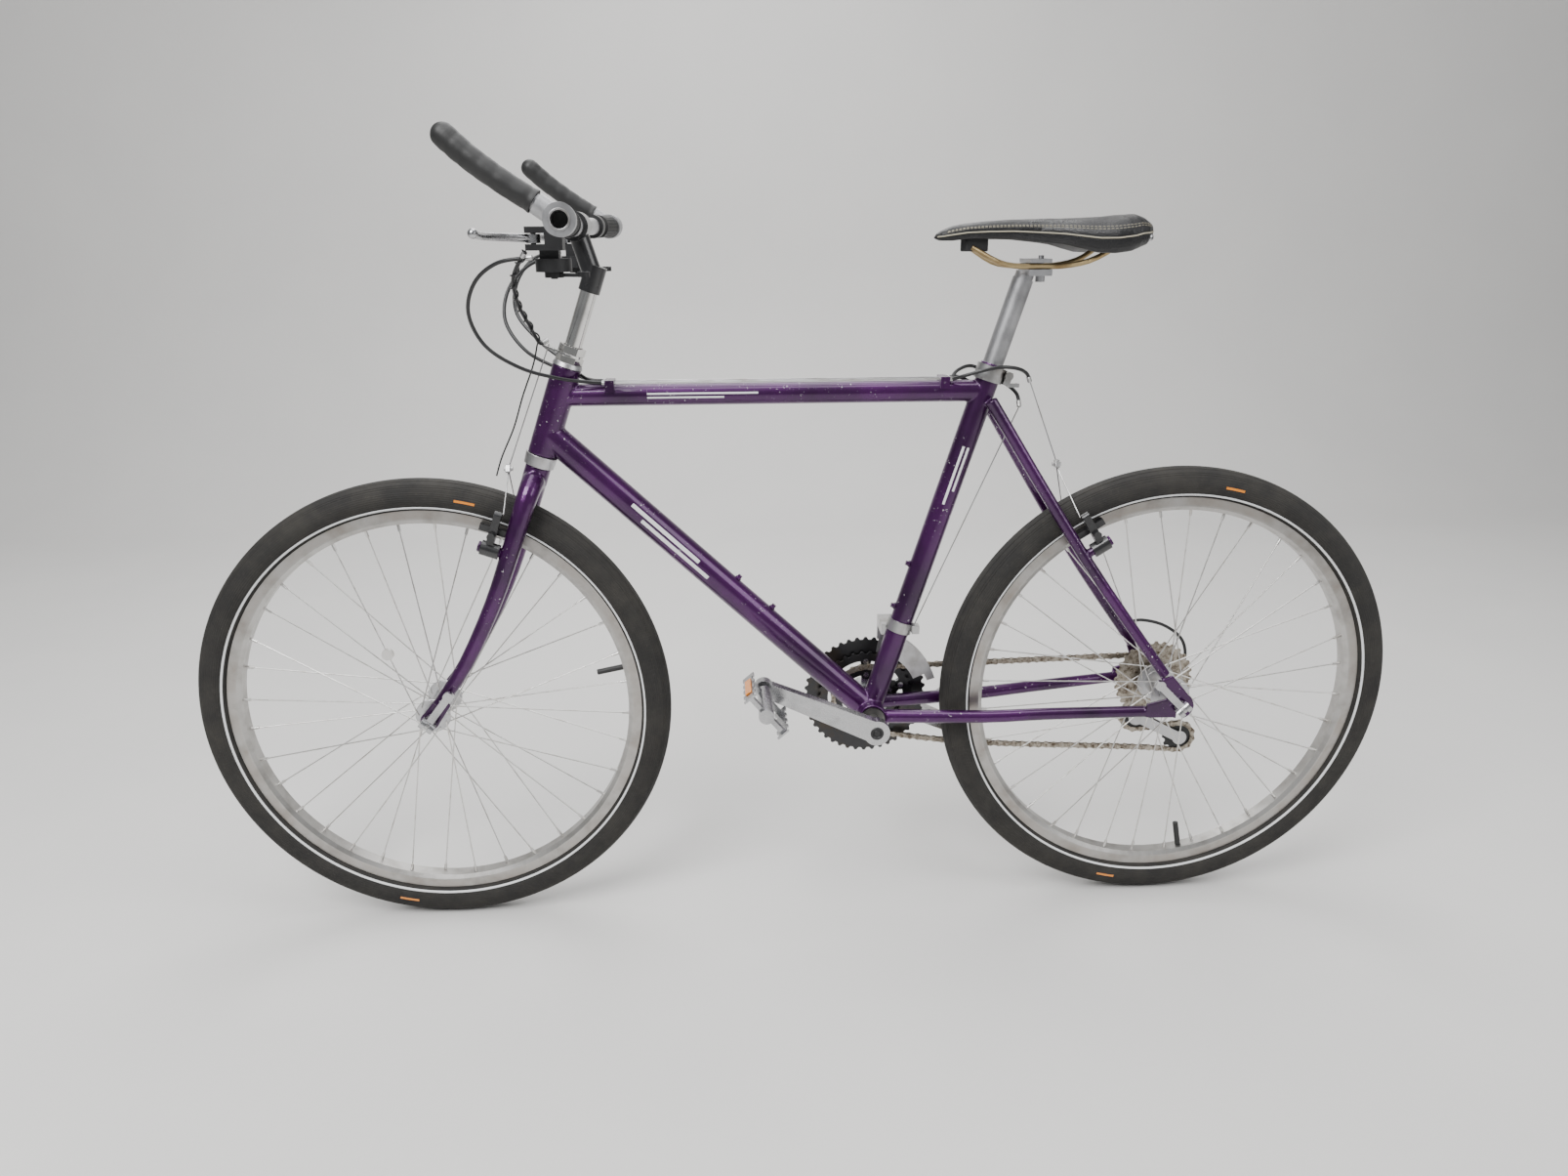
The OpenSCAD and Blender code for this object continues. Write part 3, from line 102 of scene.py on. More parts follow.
# ---------------------------------------------------------------- node-building helpers
class Shader:
    """A principled material under construction, with texture helpers in metres."""

    def __init__(self, name, base=(0.5, 0.5, 0.5), metallic=0.0, rough=0.5, **sockets):
        self.mat = bpy.data.materials.new(name)
        self.mat.use_nodes = True
        self.tree = self.mat.node_tree
        self.bsdf = self.tree.nodes["Principled BSDF"]
        self.coords = self.tree.nodes.new("ShaderNodeTexCoord").outputs["Object"]
        self.set(self.bsdf, {"Base Color": (*base, 1), "Metallic": metallic, "Roughness": rough})
        self.set(self.bsdf, {key.replace("_", " "): value for key, value in sockets.items()})

    def set(self, node, values):
        for key, value in values.items():
            if isinstance(value, bpy.types.NodeSocket):
                self.tree.links.new(value, node.inputs[key])
            else:
                node.inputs[key].default_value = value

    def node(self, kind, values=None, **props):
        made = self.tree.nodes.new("ShaderNode" + kind)
        for key, value in props.items():
            setattr(made, key, value)
        self.set(made, values or {})
        return made

    def stretched(self, scale):
        return self.node("Mapping", {"Vector": self.coords, "Scale": scale}).outputs["Vector"]

    def noise(self, scale, detail=4, rough=0.55, stretch=None):
        vector = self.stretched(stretch) if stretch else self.coords
        return self.node(
            "TexNoise", {"Vector": vector, "Scale": scale, "Detail": detail, "Roughness": rough}
        ).outputs["Fac"]

    def cells(self, scale):
        made = self.node("TexVoronoi", {"Vector": self.coords, "Scale": scale})
        return made.outputs["Distance"]

    def step(self, value, low, high):
        made = self.node("MapRange", {"Value": value, "From Min": low, "From Max": high})
        return made.outputs["Result"]

    def times(self, a, b):
        made = self.node("Math", operation="MULTIPLY")
        self.set(made, {0: a, 1: b})
        return made.outputs["Value"]

    def span(self, fac, low, high):
        made = self.node("MapRange", {"Value": fac, "To Min": low, "To Max": high})
        return made.outputs["Result"]

    def mix(self, fac, a, b):
        made = self.node("Mix", data_type="RGBA")
        self.set(made, {"Factor": fac})
        for slot, value in ((6, a), (7, b)):
            if isinstance(value, bpy.types.NodeSocket):
                self.tree.links.new(value, made.inputs[slot])
            else:
                made.inputs[slot].default_value = (*value, 1)
        return made.outputs[2]

    def colour(self, socket):
        self.set(self.bsdf, {"Base Color": socket})
        return self

    def rough(self, socket):
        self.set(self.bsdf, {"Roughness": socket})
        return self

    def bump(self, height, distance, strength=1.0):
        made = self.node("Bump", {"Height": height, "Distance": distance, "Strength": strength})
        self.set(self.bsdf, {"Normal": made.outputs["Normal"]})
        return self


def metal(name, base, rough, wear=0.12, tint=None, grain=0.00003, stretch=(1, 1, 1), scale=500):
    """A bare metal: patchy tint, uneven gloss and a fine directional grain."""
    s = Shader(name, base, 1.0, rough)
    patches = s.noise(28, 5)
    fine = s.noise(scale, 3, stretch=stretch)
    dark = tuple(c * 0.62 for c in (tint or base))
    s.colour(s.mix(s.step(patches, 0.48, 0.78), base, dark))
    s.rough(s.span(fine, max(rough - wear, 0.05), rough + wear))
    return s.bump(fine, grain).mat


def plastic(name, base, rough, grain=0.00006, scale=1400, dust=0.35, **extra):
    """Moulded plastic or rubber: fine grain, greyed by dust and rubbed smoother in patches."""
    s = Shader(name, base, 0.0, rough, **extra)
    patches = s.noise(34, 6, 0.6)
    grey = tuple(min(c * 2 + 0.014, 1) for c in base)
    s.colour(s.mix(s.times(s.step(patches, 0.45, 0.85), dust), base, grey))
    s.rough(s.span(s.noise(60, 4), rough - 0.12, rough + 0.12))
    return s.bump(s.noise(scale, 2), grain).mat


def purple_paint():
    """Deep metallic purple under clear coat, with flakes in a lighter painted glint colour and
    chips to bare metal that gather in patches.
    """
    s = Shader("purple_paint", (0.05, 0.008, 0.07), 0.6, 0.34, Coat_Weight=0.6, Coat_Roughness=0.05,
               Coat_IOR=1.5)
    flakes = s.cells(2600)
    # The lighter violet in the flake mottling is a painted glint, a highlight colour laid into the
    # paint's colour.
    painted_flake_glint = s.mix(s.step(flakes, 0.1, 0.6), (0.13, 0.008, 0.17), (0.045, 0.003, 0.06))
    depth = s.mix(s.step(s.noise(9, 3), 0.35, 0.75), painted_flake_glint, (0.017, 0.002, 0.024))
    spots = s.step(s.noise(170, 3, 0.7), 0.665, 0.68)
    spots_fine = s.step(s.noise(420, 2, 0.6), 0.735, 0.745)
    where = s.step(s.noise(7, 2), 0.46, 0.56)
    both = s.node("Math", operation="MAXIMUM")
    s.set(both, {0: s.times(spots, where), 1: s.times(spots_fine, where)})
    chips = both.outputs["Value"]
    grime = s.step(s.noise(46, 6, 0.65), 0.62, 0.8)
    painted = s.mix(s.times(grime, 0.35), depth, (0.045, 0.036, 0.034))
    s.colour(s.mix(chips, painted, (0.62, 0.6, 0.62)))
    s.rough(s.span(s.noise(90, 4), 0.24, 0.42))
    return s.bump(chips, -0.00012).mat


def rim_metal(name, hub):
    """Brushed rim: rings about the axle, with brown brake dust on the track."""
    s = Shader(name, (0.45, 0.44, 0.43), 1.0, 0.36)
    to_hub = (-hub.x, 0, -hub.z)
    shift = s.node("VectorMath", {0: s.coords, 1: to_hub}, operation="ADD").outputs["Vector"]
    split = s.node("SeparateXYZ", {"Vector": shift})
    flat = s.node("CombineXYZ", {"X": split.outputs["X"], "Y": split.outputs["Z"]})
    radius = s.node("VectorMath", {0: flat.outputs["Vector"]}, operation="LENGTH").outputs["Value"]
    fine = s.node("TexNoise", {"W": radius, "Scale": 2200, "Detail": 2}, noise_dimensions="1D")
    rings = fine.outputs["Fac"]
    brake_track = s.step(radius, RIM_R - 0.0135, RIM_R - 0.010)
    track = s.times(brake_track, s.step(s.noise(26, 5), 0.3, 0.8))
    base = s.mix(s.step(s.noise(40, 5), 0.45, 0.8), (0.47, 0.46, 0.445), (0.3, 0.285, 0.265))
    s.colour(s.mix(s.times(track, 0.55), base, (0.3, 0.24, 0.19)))
    s.rough(s.span(rings, 0.28, 0.46))
    return s.bump(rings, 0.00002).mat


def tyre_rubber():
    """Matt rubber, dusty in patches and speckled with grit."""
    s = Shader("tyre_rubber", (0.033, 0.031, 0.028), 0.0, 0.78, Specular_IOR_Level=0.35)
    dust = s.step(s.noise(24, 6, 0.65), 0.4, 0.75)
    speck = s.step(s.noise(260, 3, 0.7), 0.6, 0.75)
    base = s.mix(s.times(dust, 0.5), (0.02, 0.019, 0.018), (0.055, 0.05, 0.042))
    s.colour(s.mix(s.times(speck, 0.3), base, (0.085, 0.076, 0.062)))
    s.rough(s.span(s.noise(70, 4), 0.66, 0.88))
    return s.bump(s.noise(900, 3), 0.00012).mat


def leather(name, base, rough=0.42, grain=0.00035):
    """Pebbled leather with creases, smoother and a little paler where it is worn."""
    s = Shader(name, base, 0.0, rough, Coat_Weight=0.08, Coat_Roughness=0.3,
               Specular_IOR_Level=0.32)
    pebble = s.cells(520)
    crease = s.noise(120, 4)
    worn = s.step(s.noise(17, 3), 0.46, 0.66)
    s.colour(s.mix(s.times(worn, 0.5), base, tuple(c * 1.6 + 0.006 for c in base)))
    s.rough(s.span(worn, rough + 0.08, rough - 0.16))
    height = s.node("Math", operation="ADD")
    s.set(height, {0: pebble, 1: s.times(crease, 0.5)})
    return s.bump(height.outputs["Value"], grain).mat


def dirty_steel():
    """Chain and cog steel under brown, oily grime."""
    s = Shader("dirty_steel", (0.3, 0.25, 0.19), 0.85, 0.42)
    grime = s.step(s.noise(180, 5, 0.65), 0.42, 0.68)
    s.colour(s.mix(grime, (0.42, 0.38, 0.32), (0.09, 0.06, 0.035)))
    s.rough(s.span(grime, 0.3, 0.7))
    return s.bump(s.noise(900, 3), 0.00008).mat


def spoke_metal():
    """Bright wire with dull patches."""
    s = Shader("spoke_steel", (0.66, 0.65, 0.63), 1.0, 0.3)
    s.colour(s.mix(s.step(s.noise(60, 4), 0.5, 0.8), (0.7, 0.69, 0.67), (0.4, 0.37, 0.33)))
    s.rough(s.span(s.noise(300, 3), 0.2, 0.42))
    return s.bump(s.noise(2000, 2), 0.00002).mat


def flat_trim(name, base, rough=0.5, speckle=0.25, **extra):
    """A light plastic, paint or reflective film with dirt in it."""
    s = Shader(name, base, 0.0, rough, **extra)
    dirt = s.step(s.noise(90, 6, 0.65), 0.45, 0.8)
    s.colour(s.mix(s.times(dirt, speckle), base, tuple(c * 0.45 for c in base)))
    s.rough(s.span(s.noise(200, 3), rough - 0.1, rough + 0.1))
    return s.bump(s.noise(1200, 2), 0.00003).mat


MAT = {
    "purple_paint": purple_paint(),
    "satin_alloy": metal("satin_alloy", (0.55, 0.55, 0.56), 0.38, tint=(0.45, 0.42, 0.4)),
    "scuffed_alloy": metal("scuffed_alloy", (0.42, 0.42, 0.43), 0.46, 0.18, grain=0.00009,
                           scale=240, stretch=(3, 3, 0.6)),
    "polished_alloy": metal("polished_alloy", (0.5, 0.5, 0.51), 0.27, 0.1, scale=700),
    "chrome": metal("chrome", (0.74, 0.73, 0.71), 0.1, 0.05, scale=300, grain=0.00001),
    "black_metal": plastic("black_metal", (0.012, 0.012, 0.013), 0.3, 0.00002, 900, 0.22,
                           Coat_Weight=0.5, Coat_Roughness=0.12),
    "black_ring": metal("black_ring", (0.06, 0.06, 0.062), 0.4, 0.12, tint=(0.14, 0.11, 0.08)),
    "black_rubber": plastic("black_rubber", (0.014, 0.014, 0.014), 0.5, 0.0001, 900, 0.3),
    "tyre_rubber": tyre_rubber(),
    "black_plastic": plastic("black_plastic", (0.012, 0.012, 0.013), 0.42, 0.00006, 1600, 0.2),
    "housing": plastic("housing", (0.011, 0.011, 0.012), 0.32, 0.00002, 800, 0.18),
    "saddle_leather": leather("saddle_leather", (0.008, 0.008, 0.009), 0.36),
    "saddle_side": leather("saddle_side", (0.01, 0.01, 0.011), 0.3, 0.0005),
    "piping": flat_trim("piping", (0.36, 0.33, 0.25), 0.6),
    "brass_rail": metal("brass_rail", (0.42, 0.32, 0.17), 0.36, tint=(0.34, 0.22, 0.1)),
    "steel": metal("steel", (0.5, 0.5, 0.5), 0.34, tint=(0.4, 0.36, 0.32)),
    "dark_steel": metal("dark_steel", (0.16, 0.155, 0.15), 0.4),
    "spoke_steel": spoke_metal(),
    "dirty_steel": dirty_steel(),
    "reflex": flat_trim("reflex", (0.78, 0.79, 0.8), 0.35, 0.2),
    "amber": flat_trim("amber", (0.75, 0.24, 0.015), 0.2, 0.15, Coat_Weight=0.7,
                       Coat_Roughness=0.08),
    "decal": flat_trim("decal", (0.8, 0.8, 0.82), 0.3, 0.12, Coat_Weight=0.8, Coat_Roughness=0.08),
    "front_rim": rim_metal("front_rim_metal", FRONT),
    "rear_rim": rim_metal("rear_rim_metal", REAR),
}
SLOT = {row["node"]: row["material_slot"] for row in frame["record"]["subparts"]}


# ---------------------------------------------------------------- mesh helpers
def keep(bm, name, mat, smooth=35):
    """Turns a bmesh into an object with one material and edges sharp above an angle."""
    bmesh.ops.recalc_face_normals(bm, faces=bm.faces)
    mesh = bpy.data.meshes.new(name)
    bm.to_mesh(mesh)
    bm.free()
    if "custom_normal" in mesh.attributes:
        mesh.attributes.remove(mesh.attributes["custom_normal"])
    for face in mesh.polygons:
        face.use_smooth = True
    mesh.set_sharp_from_angle(angle=math.radians(smooth))
    obj = bpy.data.objects.new(name, mesh)
    bpy.context.scene.collection.objects.link(obj)
    obj.data.materials.append(MAT[mat])
    return obj


def place(obj, body, slot, *nodes):
    """Puts a piece on its body and hides the CAD nodes that it stands for; its slot is not used."""
    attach(obj, body)
    if nodes:
        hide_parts(*nodes)
    return obj


def smooth_path(points, steps=6):
    """Catmull-Rom points through a list of positions."""
    p = [Vector(q) for q in points]
    out = []
    for i in range(len(p) - 1):
        a, b, c, d = p[max(i - 1, 0)], p[i], p[i + 1], p[min(i + 2, len(p) - 1)]
        for k in range(steps):
            t = k / steps
            cubic = 3 * (b - c) + d - a
            out.append(b + 0.5 * t * (c - a + t * (2 * a - 5 * b + 4 * c - d + t * cubic)))
    return out + [p[-1]]


def frames(path, closed=False, first=Vector((0.3, 0.2, 1))):
    """Tangent and two vectors across it at each point of a path, turned as little as possible."""
    n = len(path)
    out = []
    across = first
    for i in range(n):
        a = path[(i - 1) % n] if closed else path[max(i - 1, 0)]
        b = path[(i + 1) % n] if closed else path[min(i + 1, n - 1)]
        t = (b - a).normalized()
        across = (across - across.dot(t) * t).normalized()
        out.append((t, across.copy(), t.cross(across)))
    return out


def add_skin(bm, rows, around=True):
    """Faces between rows of vertices, each row a loop or, with around off, an open line."""
    n = len(rows[0])
    for low, high in zip(rows, rows[1:]):
        for k in range(n if around else n - 1):
            m = (k + 1) % n
            bm.faces.new((low[k], low[m], high[m], high[k]))


def add_caps(bm, rings):
    for ring in (rings[0], rings[-1]):
        bm.faces.new(ring)


def add_tube(bm, path, radius, sides=16, closed=False):
    """Sweeps a circle along a path; radius may be a list."""
    outline = [(math.cos(2 * math.pi * k / sides), math.sin(2 * math.pi * k / sides))
               for k in range(sides)]
    radii = radius if isinstance(radius, (list, tuple)) else [radius] * len(path)
    rings = []
    for point, r, (_, m, b) in zip(path, radii, frames(path, closed)):
        rings.append([bm.verts.new(point + r * (u * m + v * b)) for u, v in outline])
    add_skin(bm, rings + ([rings[0]] if closed else []))
    if not closed:
        bm.faces.new(list(reversed(rings[0])))
        bm.faces.new(rings[-1])


def rounded_end(points, radius, steps):
    """A path and its radii that finish in a half ball at the far end."""
    path = list(points)
    t = (path[-1] - path[-2]).normalized()
    radii = [radius] * len(path)
    for k in range(1, steps + 1):
        a = math.pi / 2 * k / steps
        path.append(points[-1] + t * radius * math.sin(a))
        radii.append(max(radius * math.cos(a), radius * 0.04))
    return path, radii


def lathe(name, profile, axle, mat, segments=96, smooth=35):
    """Revolves (radius, y) points about an axis along Y through the axle's place."""
    bm = bmesh.new()
    rings = []
    for k in range(segments):
        a = 2 * math.pi * k / segments
        rings.append([bm.verts.new((axle.x + r * math.cos(a), axle.y + y, axle.z + r * math.sin(a)))
                      for r, y in profile])
    add_skin(bm, rings + [rings[0]], around=False)
    return keep(bm, name, mat, smooth)


def add_prism(bm, outline, thickness, place_at):
    """Extrudes an outline in its own X and Y by a thickness along Z, then moves it by a matrix."""
    low = [bm.verts.new(place_at @ Vector((x, y, -thickness / 2))) for x, y in outline]
    high = [bm.verts.new(place_at @ Vector((x, y, thickness / 2))) for x, y in outline]
    n = len(outline)
    bm.faces.new(list(reversed(low)))
    bm.faces.new(high)
    for k in range(n):
        bm.faces.new((low[k], low[(k + 1) % n], high[(k + 1) % n], high[k]))


def bevelled(obj, width, angle=32):
    mod = obj.modifiers.new("edges", "BEVEL")
    mod.width = width
    mod.segments = 2
    mod.limit_method = "ANGLE"
    mod.angle_limit = math.radians(angle)
    mod.harden_normals = False
    return obj


def rotation(x_axis, z_axis, at):
    """A matrix whose X and Z lie along two directions, placed at a point."""
    z = Vector(z_axis).normalized()
    x = (Vector(x_axis) - Vector(x_axis).dot(z) * z).normalized()
    y = z.cross(x)
    return Matrix.Translation(at) @ Matrix((x, y, z)).transposed().to_4x4()


def refined(node, mat, edge):
    """A copy of a CAD node with its flats cleaned and its edges broken by a small bevel."""
    source = frame["nodes"][node]
    bm = bmesh.new()
    bm.from_mesh(source.data)
    bmesh.ops.remove_doubles(bm, verts=bm.verts, dist=WELD)
    flat = math.radians(0.6)
    bmesh.ops.dissolve_limit(bm, angle_limit=flat, verts=bm.verts, edges=bm.edges)
    obj = bevelled(keep(bm, node + "_finished", mat, SHARP), edge, SHARP)
    obj.modifiers["edges"].use_clamp_overlap = True
    return place(obj, source["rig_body"], SLOT[node], node)


# ---------------------------------------------------------------- carried-over CAD nodes
CAD_LOOK = {
    "head_tube": "purple_paint", "top_tube": "purple_paint", "down_tube": "purple_paint",
    "seat_tube": "purple_paint", "bottom_bracket_shell": "purple_paint",
    "chainstays": "purple_paint", "seatstays": "purple_paint", "fork": "purple_paint",
    "headset_cups": "satin_alloy", "bottom_bracket_cups": "dark_steel",
    "frame_fittings": "purple_paint", "seat_binder": "steel", "front_derailleur_body": "steel",
    "rear_axle": "steel", "frame_cables": "housing", "rear_derailleur_knuckle": "dark_steel",
    "seat_post": "scuffed_alloy", "saddle_rails": "brass_rail", "headset_locknuts": "chrome",
    "stem": "black_metal", "handlebar": "satin_alloy", "bar_ends": "scuffed_alloy",
    "control_brackets": "black_plastic", "front_axle": "steel",
    "brake_lever_left": "polished_alloy", "brake_lever_right": "polished_alloy",
    "shift_lever_left": "black_plastic", "shift_lever_right": "black_plastic",
    "front_qr_lever": "polished_alloy", "rear_qr_lever": "polished_alloy",
    "front_inner_tube": "black_rubber", "rear_inner_tube": "black_rubber",
    "front_rim": "front_rim", "rear_rim": "rear_rim", "front_spokes": "spoke_steel",
    "rear_spokes": "spoke_steel", "front_hub": "satin_alloy", "rear_hub": "satin_alloy",
    "cassette": "dirty_steel", "bottom_bracket_spindle": "steel", "crank_arms": "polished_alloy",
    "chainrings": "black_ring", "chain": "dirty_steel", "pedal_left": "polished_alloy",
    "pedal_right": "polished_alloy", "rear_derailleur_body": "satin_alloy",
    "rear_derailleur_cage": "satin_alloy", "guide_pulley": "black_plastic",
    "tension_pulley": "black_plastic", "front_derailleur_cage": "satin_alloy",
    "grips": "black_rubber", "saddle": "saddle_leather", "bar_cables": "housing",
    "front_brake_cable": "housing", "front_tyre": "tyre_rubber", "rear_tyre": "tyre_rubber",
    "front_brake_arm_left": "black_metal", "front_brake_arm_right": "black_metal",
    "rear_brake_arm_left": "black_metal", "rear_brake_arm_right": "black_metal",
}
for node, look in CAD_LOOK.items():
    obj = frame["nodes"][node]
    obj.data.materials.clear()
    obj.data.materials.append(MAT[look])
    for face in obj.data.polygons:
        face.use_smooth = True

BEVELLED = {
    "crank_arms": 0.0012, "brake_lever_left": 0.001, "brake_lever_right": 0.001, "stem": 0.001,
    "control_brackets": 0.0012, "front_qr_lever": 0.0012, "rear_qr_lever": 0.0012,
    "seat_binder": 0.0008, "rear_derailleur_body": 0.0012, "rear_derailleur_cage": 0.0004,
    "front_derailleur_body": 0.0008, "front_derailleur_cage": 0.0003, "headset_locknuts": 0.0006,
    "shift_lever_left": 0.0008, "shift_lever_right": 0.0008, "frame_fittings": 0.0004,
    "bar_ends": 0.0008, "chainrings": 0.00025, "rear_derailleur_knuckle": 0.001,
    "front_axle": 0.0005, "rear_axle": 0.0005, "headset_cups": 0.0005, "seat_post": 0.0006,
    "handlebar": 0.0004, "front_hub": 0.0005, "rear_hub": 0.0005, "front_brake_arm_left": 0.0012,
    "front_brake_arm_right": 0.0012, "rear_brake_arm_left": 0.0012,
    "rear_brake_arm_right": 0.0012,
}
for node, edge in BEVELLED.items():
    refined(node, CAD_LOOK[node], edge)


def chromed_quill():
    """The stem's quill is bare chrome where it comes out of the black body."""
    stem = bpy.data.objects["stem_finished"]
    stem.data.materials.append(MAT["chrome"])
    quill_top, quill_reach = 0.606, 0.0118
    for face in stem.data.polygons:
        offset = face.center - HEAD_LOW
        along = offset.dot(HEAD_U)
        if along < quill_top and (offset - along * HEAD_U).length < quill_reach:
            face.material_index = 1


chromed_quill()


# ---------------------------------------------------------------- frame and fork skins
def blended_tubes(name, nodes, voxel, relax, body):
    """One painted skin over bonded tubes, with the joints drawn into soft fillets."""
    bm = bmesh.new()
    for node in nodes:
        bm.from_mesh(frame["nodes"][node].data)
    bmesh.ops.remove_doubles(bm, verts=bm.verts, dist=WELD)
    obj = keep(bm, name, "purple_paint")
    mod = obj.modifiers.new("skin", "REMESH")
    mod.mode = "VOXEL"
    mod.voxel_size = voxel
    mod.use_smooth_shade = True
    soften = obj.modifiers.new("fillets", "SMOOTH")
    soften.factor = 0.5
    soften.iterations = relax
    bpy.context.view_layer.update()
    done = bpy.data.meshes.new_from_object(obj.evaluated_get(bpy.context.evaluated_depsgraph_get()))
    obj.modifiers.clear()
    obj.data = done
    for face in obj.data.polygons:
        face.use_smooth = True
    return place(obj, body, "purple_paint", *nodes)


blended_tubes("frame_skin", ["head_tube", "top_tube", "down_tube", "seat_tube",
                             "bottom_bracket_shell", "chainstays", "seatstays"], 0.0012, 6, "frame")
blended_tubes("fork_skin", ["fork"], 0.0011, 5, "steering")


# ---------------------------------------------------------------- tyres
def tyre(name, axle, body, node):
    """Slick city tyre: fine tread grooves, ribbed shoulders and beads tucked into the rim."""
    r0 = TYRE_R - TYRE_W / 2
    ra = TYRE_W / 2 - 0.00035
    profile = [(RIM_R - 0.004, -RIM_W / 2 + 0.0022), (RIM_R + 0.0002, -RIM_W / 2 + 0.0021)]
    grooves = {-52: 0.0006, -44: 0.0006, -24: 0.0011, 0: 0.0009, 24: 0.0011, 44: 0.0006, 52: 0.0006}
    for a in range(-134, 135):
        dip = max((d * max(0, 1 - abs(a - g) / 1.7) for g, d in grooves.items()), default=0)
        rib = 0.00035 * (1 if abs(a) > 62 and int(abs(a)) % 7 < 2 else 0)
        tread = 0.0005 * max(0, 1 - max(0, abs(a) - 58) / 4)
        r = ra - 0.0005 + tread + rib - dip
        profile.append((r0 + r * math.cos(math.radians(a)), r * math.sin(math.radians(a))))
    profile += [(RIM_R + 0.0002, RIM_W / 2 - 0.0021), (RIM_R - 0.004, RIM_W / 2 - 0.0022)]
    obj = lathe(name, profile, axle, "tyre_rubber", 240, smooth=60)
    place(obj, body, "tyre_rubber", node)
    for s in (-1, 1):
        band = []
        for a in (120.5, 122, 124, 126, 128, 129.5):
            r = ra + (0.00025 if 121 < a < 129 else -0.0006)
            band.append((r0 + r * math.cos(math.radians(a)), s * r * math.sin(math.radians(a))))
        ring = lathe(f"{name}_stripe_{'left' if s > 0 else 'right'}", band, axle, "reflex", 200)
        place(ring, body, "tyre_rubber")
    for k in range(2):
        for s in (-1, 1):
            word = "left" if s > 0 else "right"
            label_band(f"{name}_mark_{k}_{word}", axle, r0, ra + 0.00015, s, 100 + 180 * k, body)


def label_band(name, axle, r0, ra, s, at, body):
    """A short plain raised bar on the sidewall where a maker's line would be."""
    bm = bmesh.new()
    rows = []
    for a in (84, 88, 92):
        r, y = r0 + ra * math.cos(math.radians(a)), s * ra * math.sin(math.radians(a))
        turns = [math.radians(at + 0.3 * k) for k in range(18)]
        rows.append([bm.verts.new((axle.x + r * math.cos(w), y, axle.z + r * math.sin(w)))
                     for w in turns])
    add_skin(bm, rows, around=False)
    place(keep(bm, name, "amber"), body, "tyre_rubber")


tyre("front_tyre_rubber", FRONT, "front_wheel", "front_tyre")
tyre("rear_tyre_rubber", REAR, "rear_wheel", "rear_tyre")


# ---------------------------------------------------------------- places written in millimetres
def mm(*points):
    return [Vector(p) * MM for p in points]


GRIP_ENDS = {side: mm((280.01, way * 168, 971.62), (273.424, way * 257, 972.688))
             for side, way in SIDE.items()}
DOWN_TOP = HEAD_LOW + 0.422 * HEAD_U
DOWN_FOOT = Vector((-0.092, 0, 0.303))


def smoothstep(t):
    """A soft rise from 0 to 1."""
    t = max(0.0, min(1.0, t))
    return t * t * (3 - 2 * t)


def between(table, x):
    """Straight-line value from a list of (x, value) rows."""
    if x <= table[0][0]:
        return table[0][1]
    for (a, va), (b, vb) in zip(table, table[1:]):
        if x <= b:
            return va + (vb - va) * (x - a) / (b - a)
    return table[-1][1]


def bumpy(point, scale, seed=0.0):
    return noise.noise(Vector(point) * scale + Vector((seed, seed * 0.7, seed * 1.3)))


# ---------------------------------------------------------------- saddle
# Rows of (x, value) in millimetres: half the width, the height of the top, the height of the hem.
HALF = [(-437, 2), (-435, 22), (-430, 47), (-420, 61), (-408, 68), (-395, 70), (-380, 68),
        (-360, 60), (-340, 51), (-320, 41), (-293, 30), (-260, 25), (-230, 21), (-203, 17.5),
        (-185, 14.5), (-172, 11), (-166, 7), (-163, 1)]
CREST = [(-437, 961), (-435, 966), (-430, 973), (-420, 979), (-411, 982), (-395, 981),
         (-380, 979.5), (-350, 978), (-320, 977), (-293, 976.5), (-260, 975.5), (-230, 974),
         (-203, 971.5), (-185, 968), (-172, 963), (-166, 959), (-163, 955)]
HEM = [(-437, 957), (-435, 954), (-430, 947), (-420, 938), (-400, 929), (-380, 926), (-360, 927),
       (-340, 933), (-320, 939), (-293, 943), (-260, 947), (-230, 948), (-203, 948.5),
       (-185, 947), (-172, 948), (-166, 951), (-163, 953.5)]


SADDLE_BACK, SADDLE_LONG = -437, 274


def saddle_point(x, turn):
    """A point of the saddle's skin at a station and an angle round it, in millimetres."""
    w, top, low = between(HALF, x), between(CREST, x), between(HEM, x)
    seam = low + (top - low) * 0.5
    c, s = math.cos(turn), math.sin(turn)
    y = w * math.copysign(abs(c) ** 0.72, c)
    if s >= 0:
        z = seam + (top - seam) * s ** 0.82
        if x < -300:
            z -= 3.2 * smoothstep((-300 - x) / 70) * math.exp(-(y / 11) ** 2)
    else:
        z = seam - (seam - low) * abs(s) ** 0.7
        if abs(y) < 0.86 * w:
            z += min(20, 0.5 * (top - low)) * (1 - (y / (0.86 * w)) ** 2)
    return Vector((x, y, z))


def saddle():
    around, stations = 96, 150
    bm = bmesh.new()
    rows = []
    for i in range(stations + 1):
        t = i / stations
        eased = 0.5 - 0.5 * math.cos(math.pi * t)
        x = SADDLE_BACK + SADDLE_LONG * eased * 0.55 + SADDLE_LONG * t * 0.45
        row = []
        for k in range(around):
            p = saddle_point(x, 2 * math.pi * k / around)
            p -= Vector((0, 0.15, 0.35)) * (bumpy(p, 0.05) + 0.5 * bumpy(p, 0.16, 5))
            row.append(bm.verts.new(p * MM))
        rows.append(row)
    add_skin(bm, rows)
    add_caps(bm, rows)
    body = keep(bm, "saddle_cover", "saddle_leather", 60)
    body.data.materials.append(MAT["black_plastic"])
    body.data.materials.append(MAT["saddle_side"])
    for face in body.data.polygons:
        if face.index % around >= around // 2:
            face.material_index = 1 if face.normal.z < -0.55 else 2
    place(body, "seat", "saddle_leather", "saddle")
    saddle_trim()


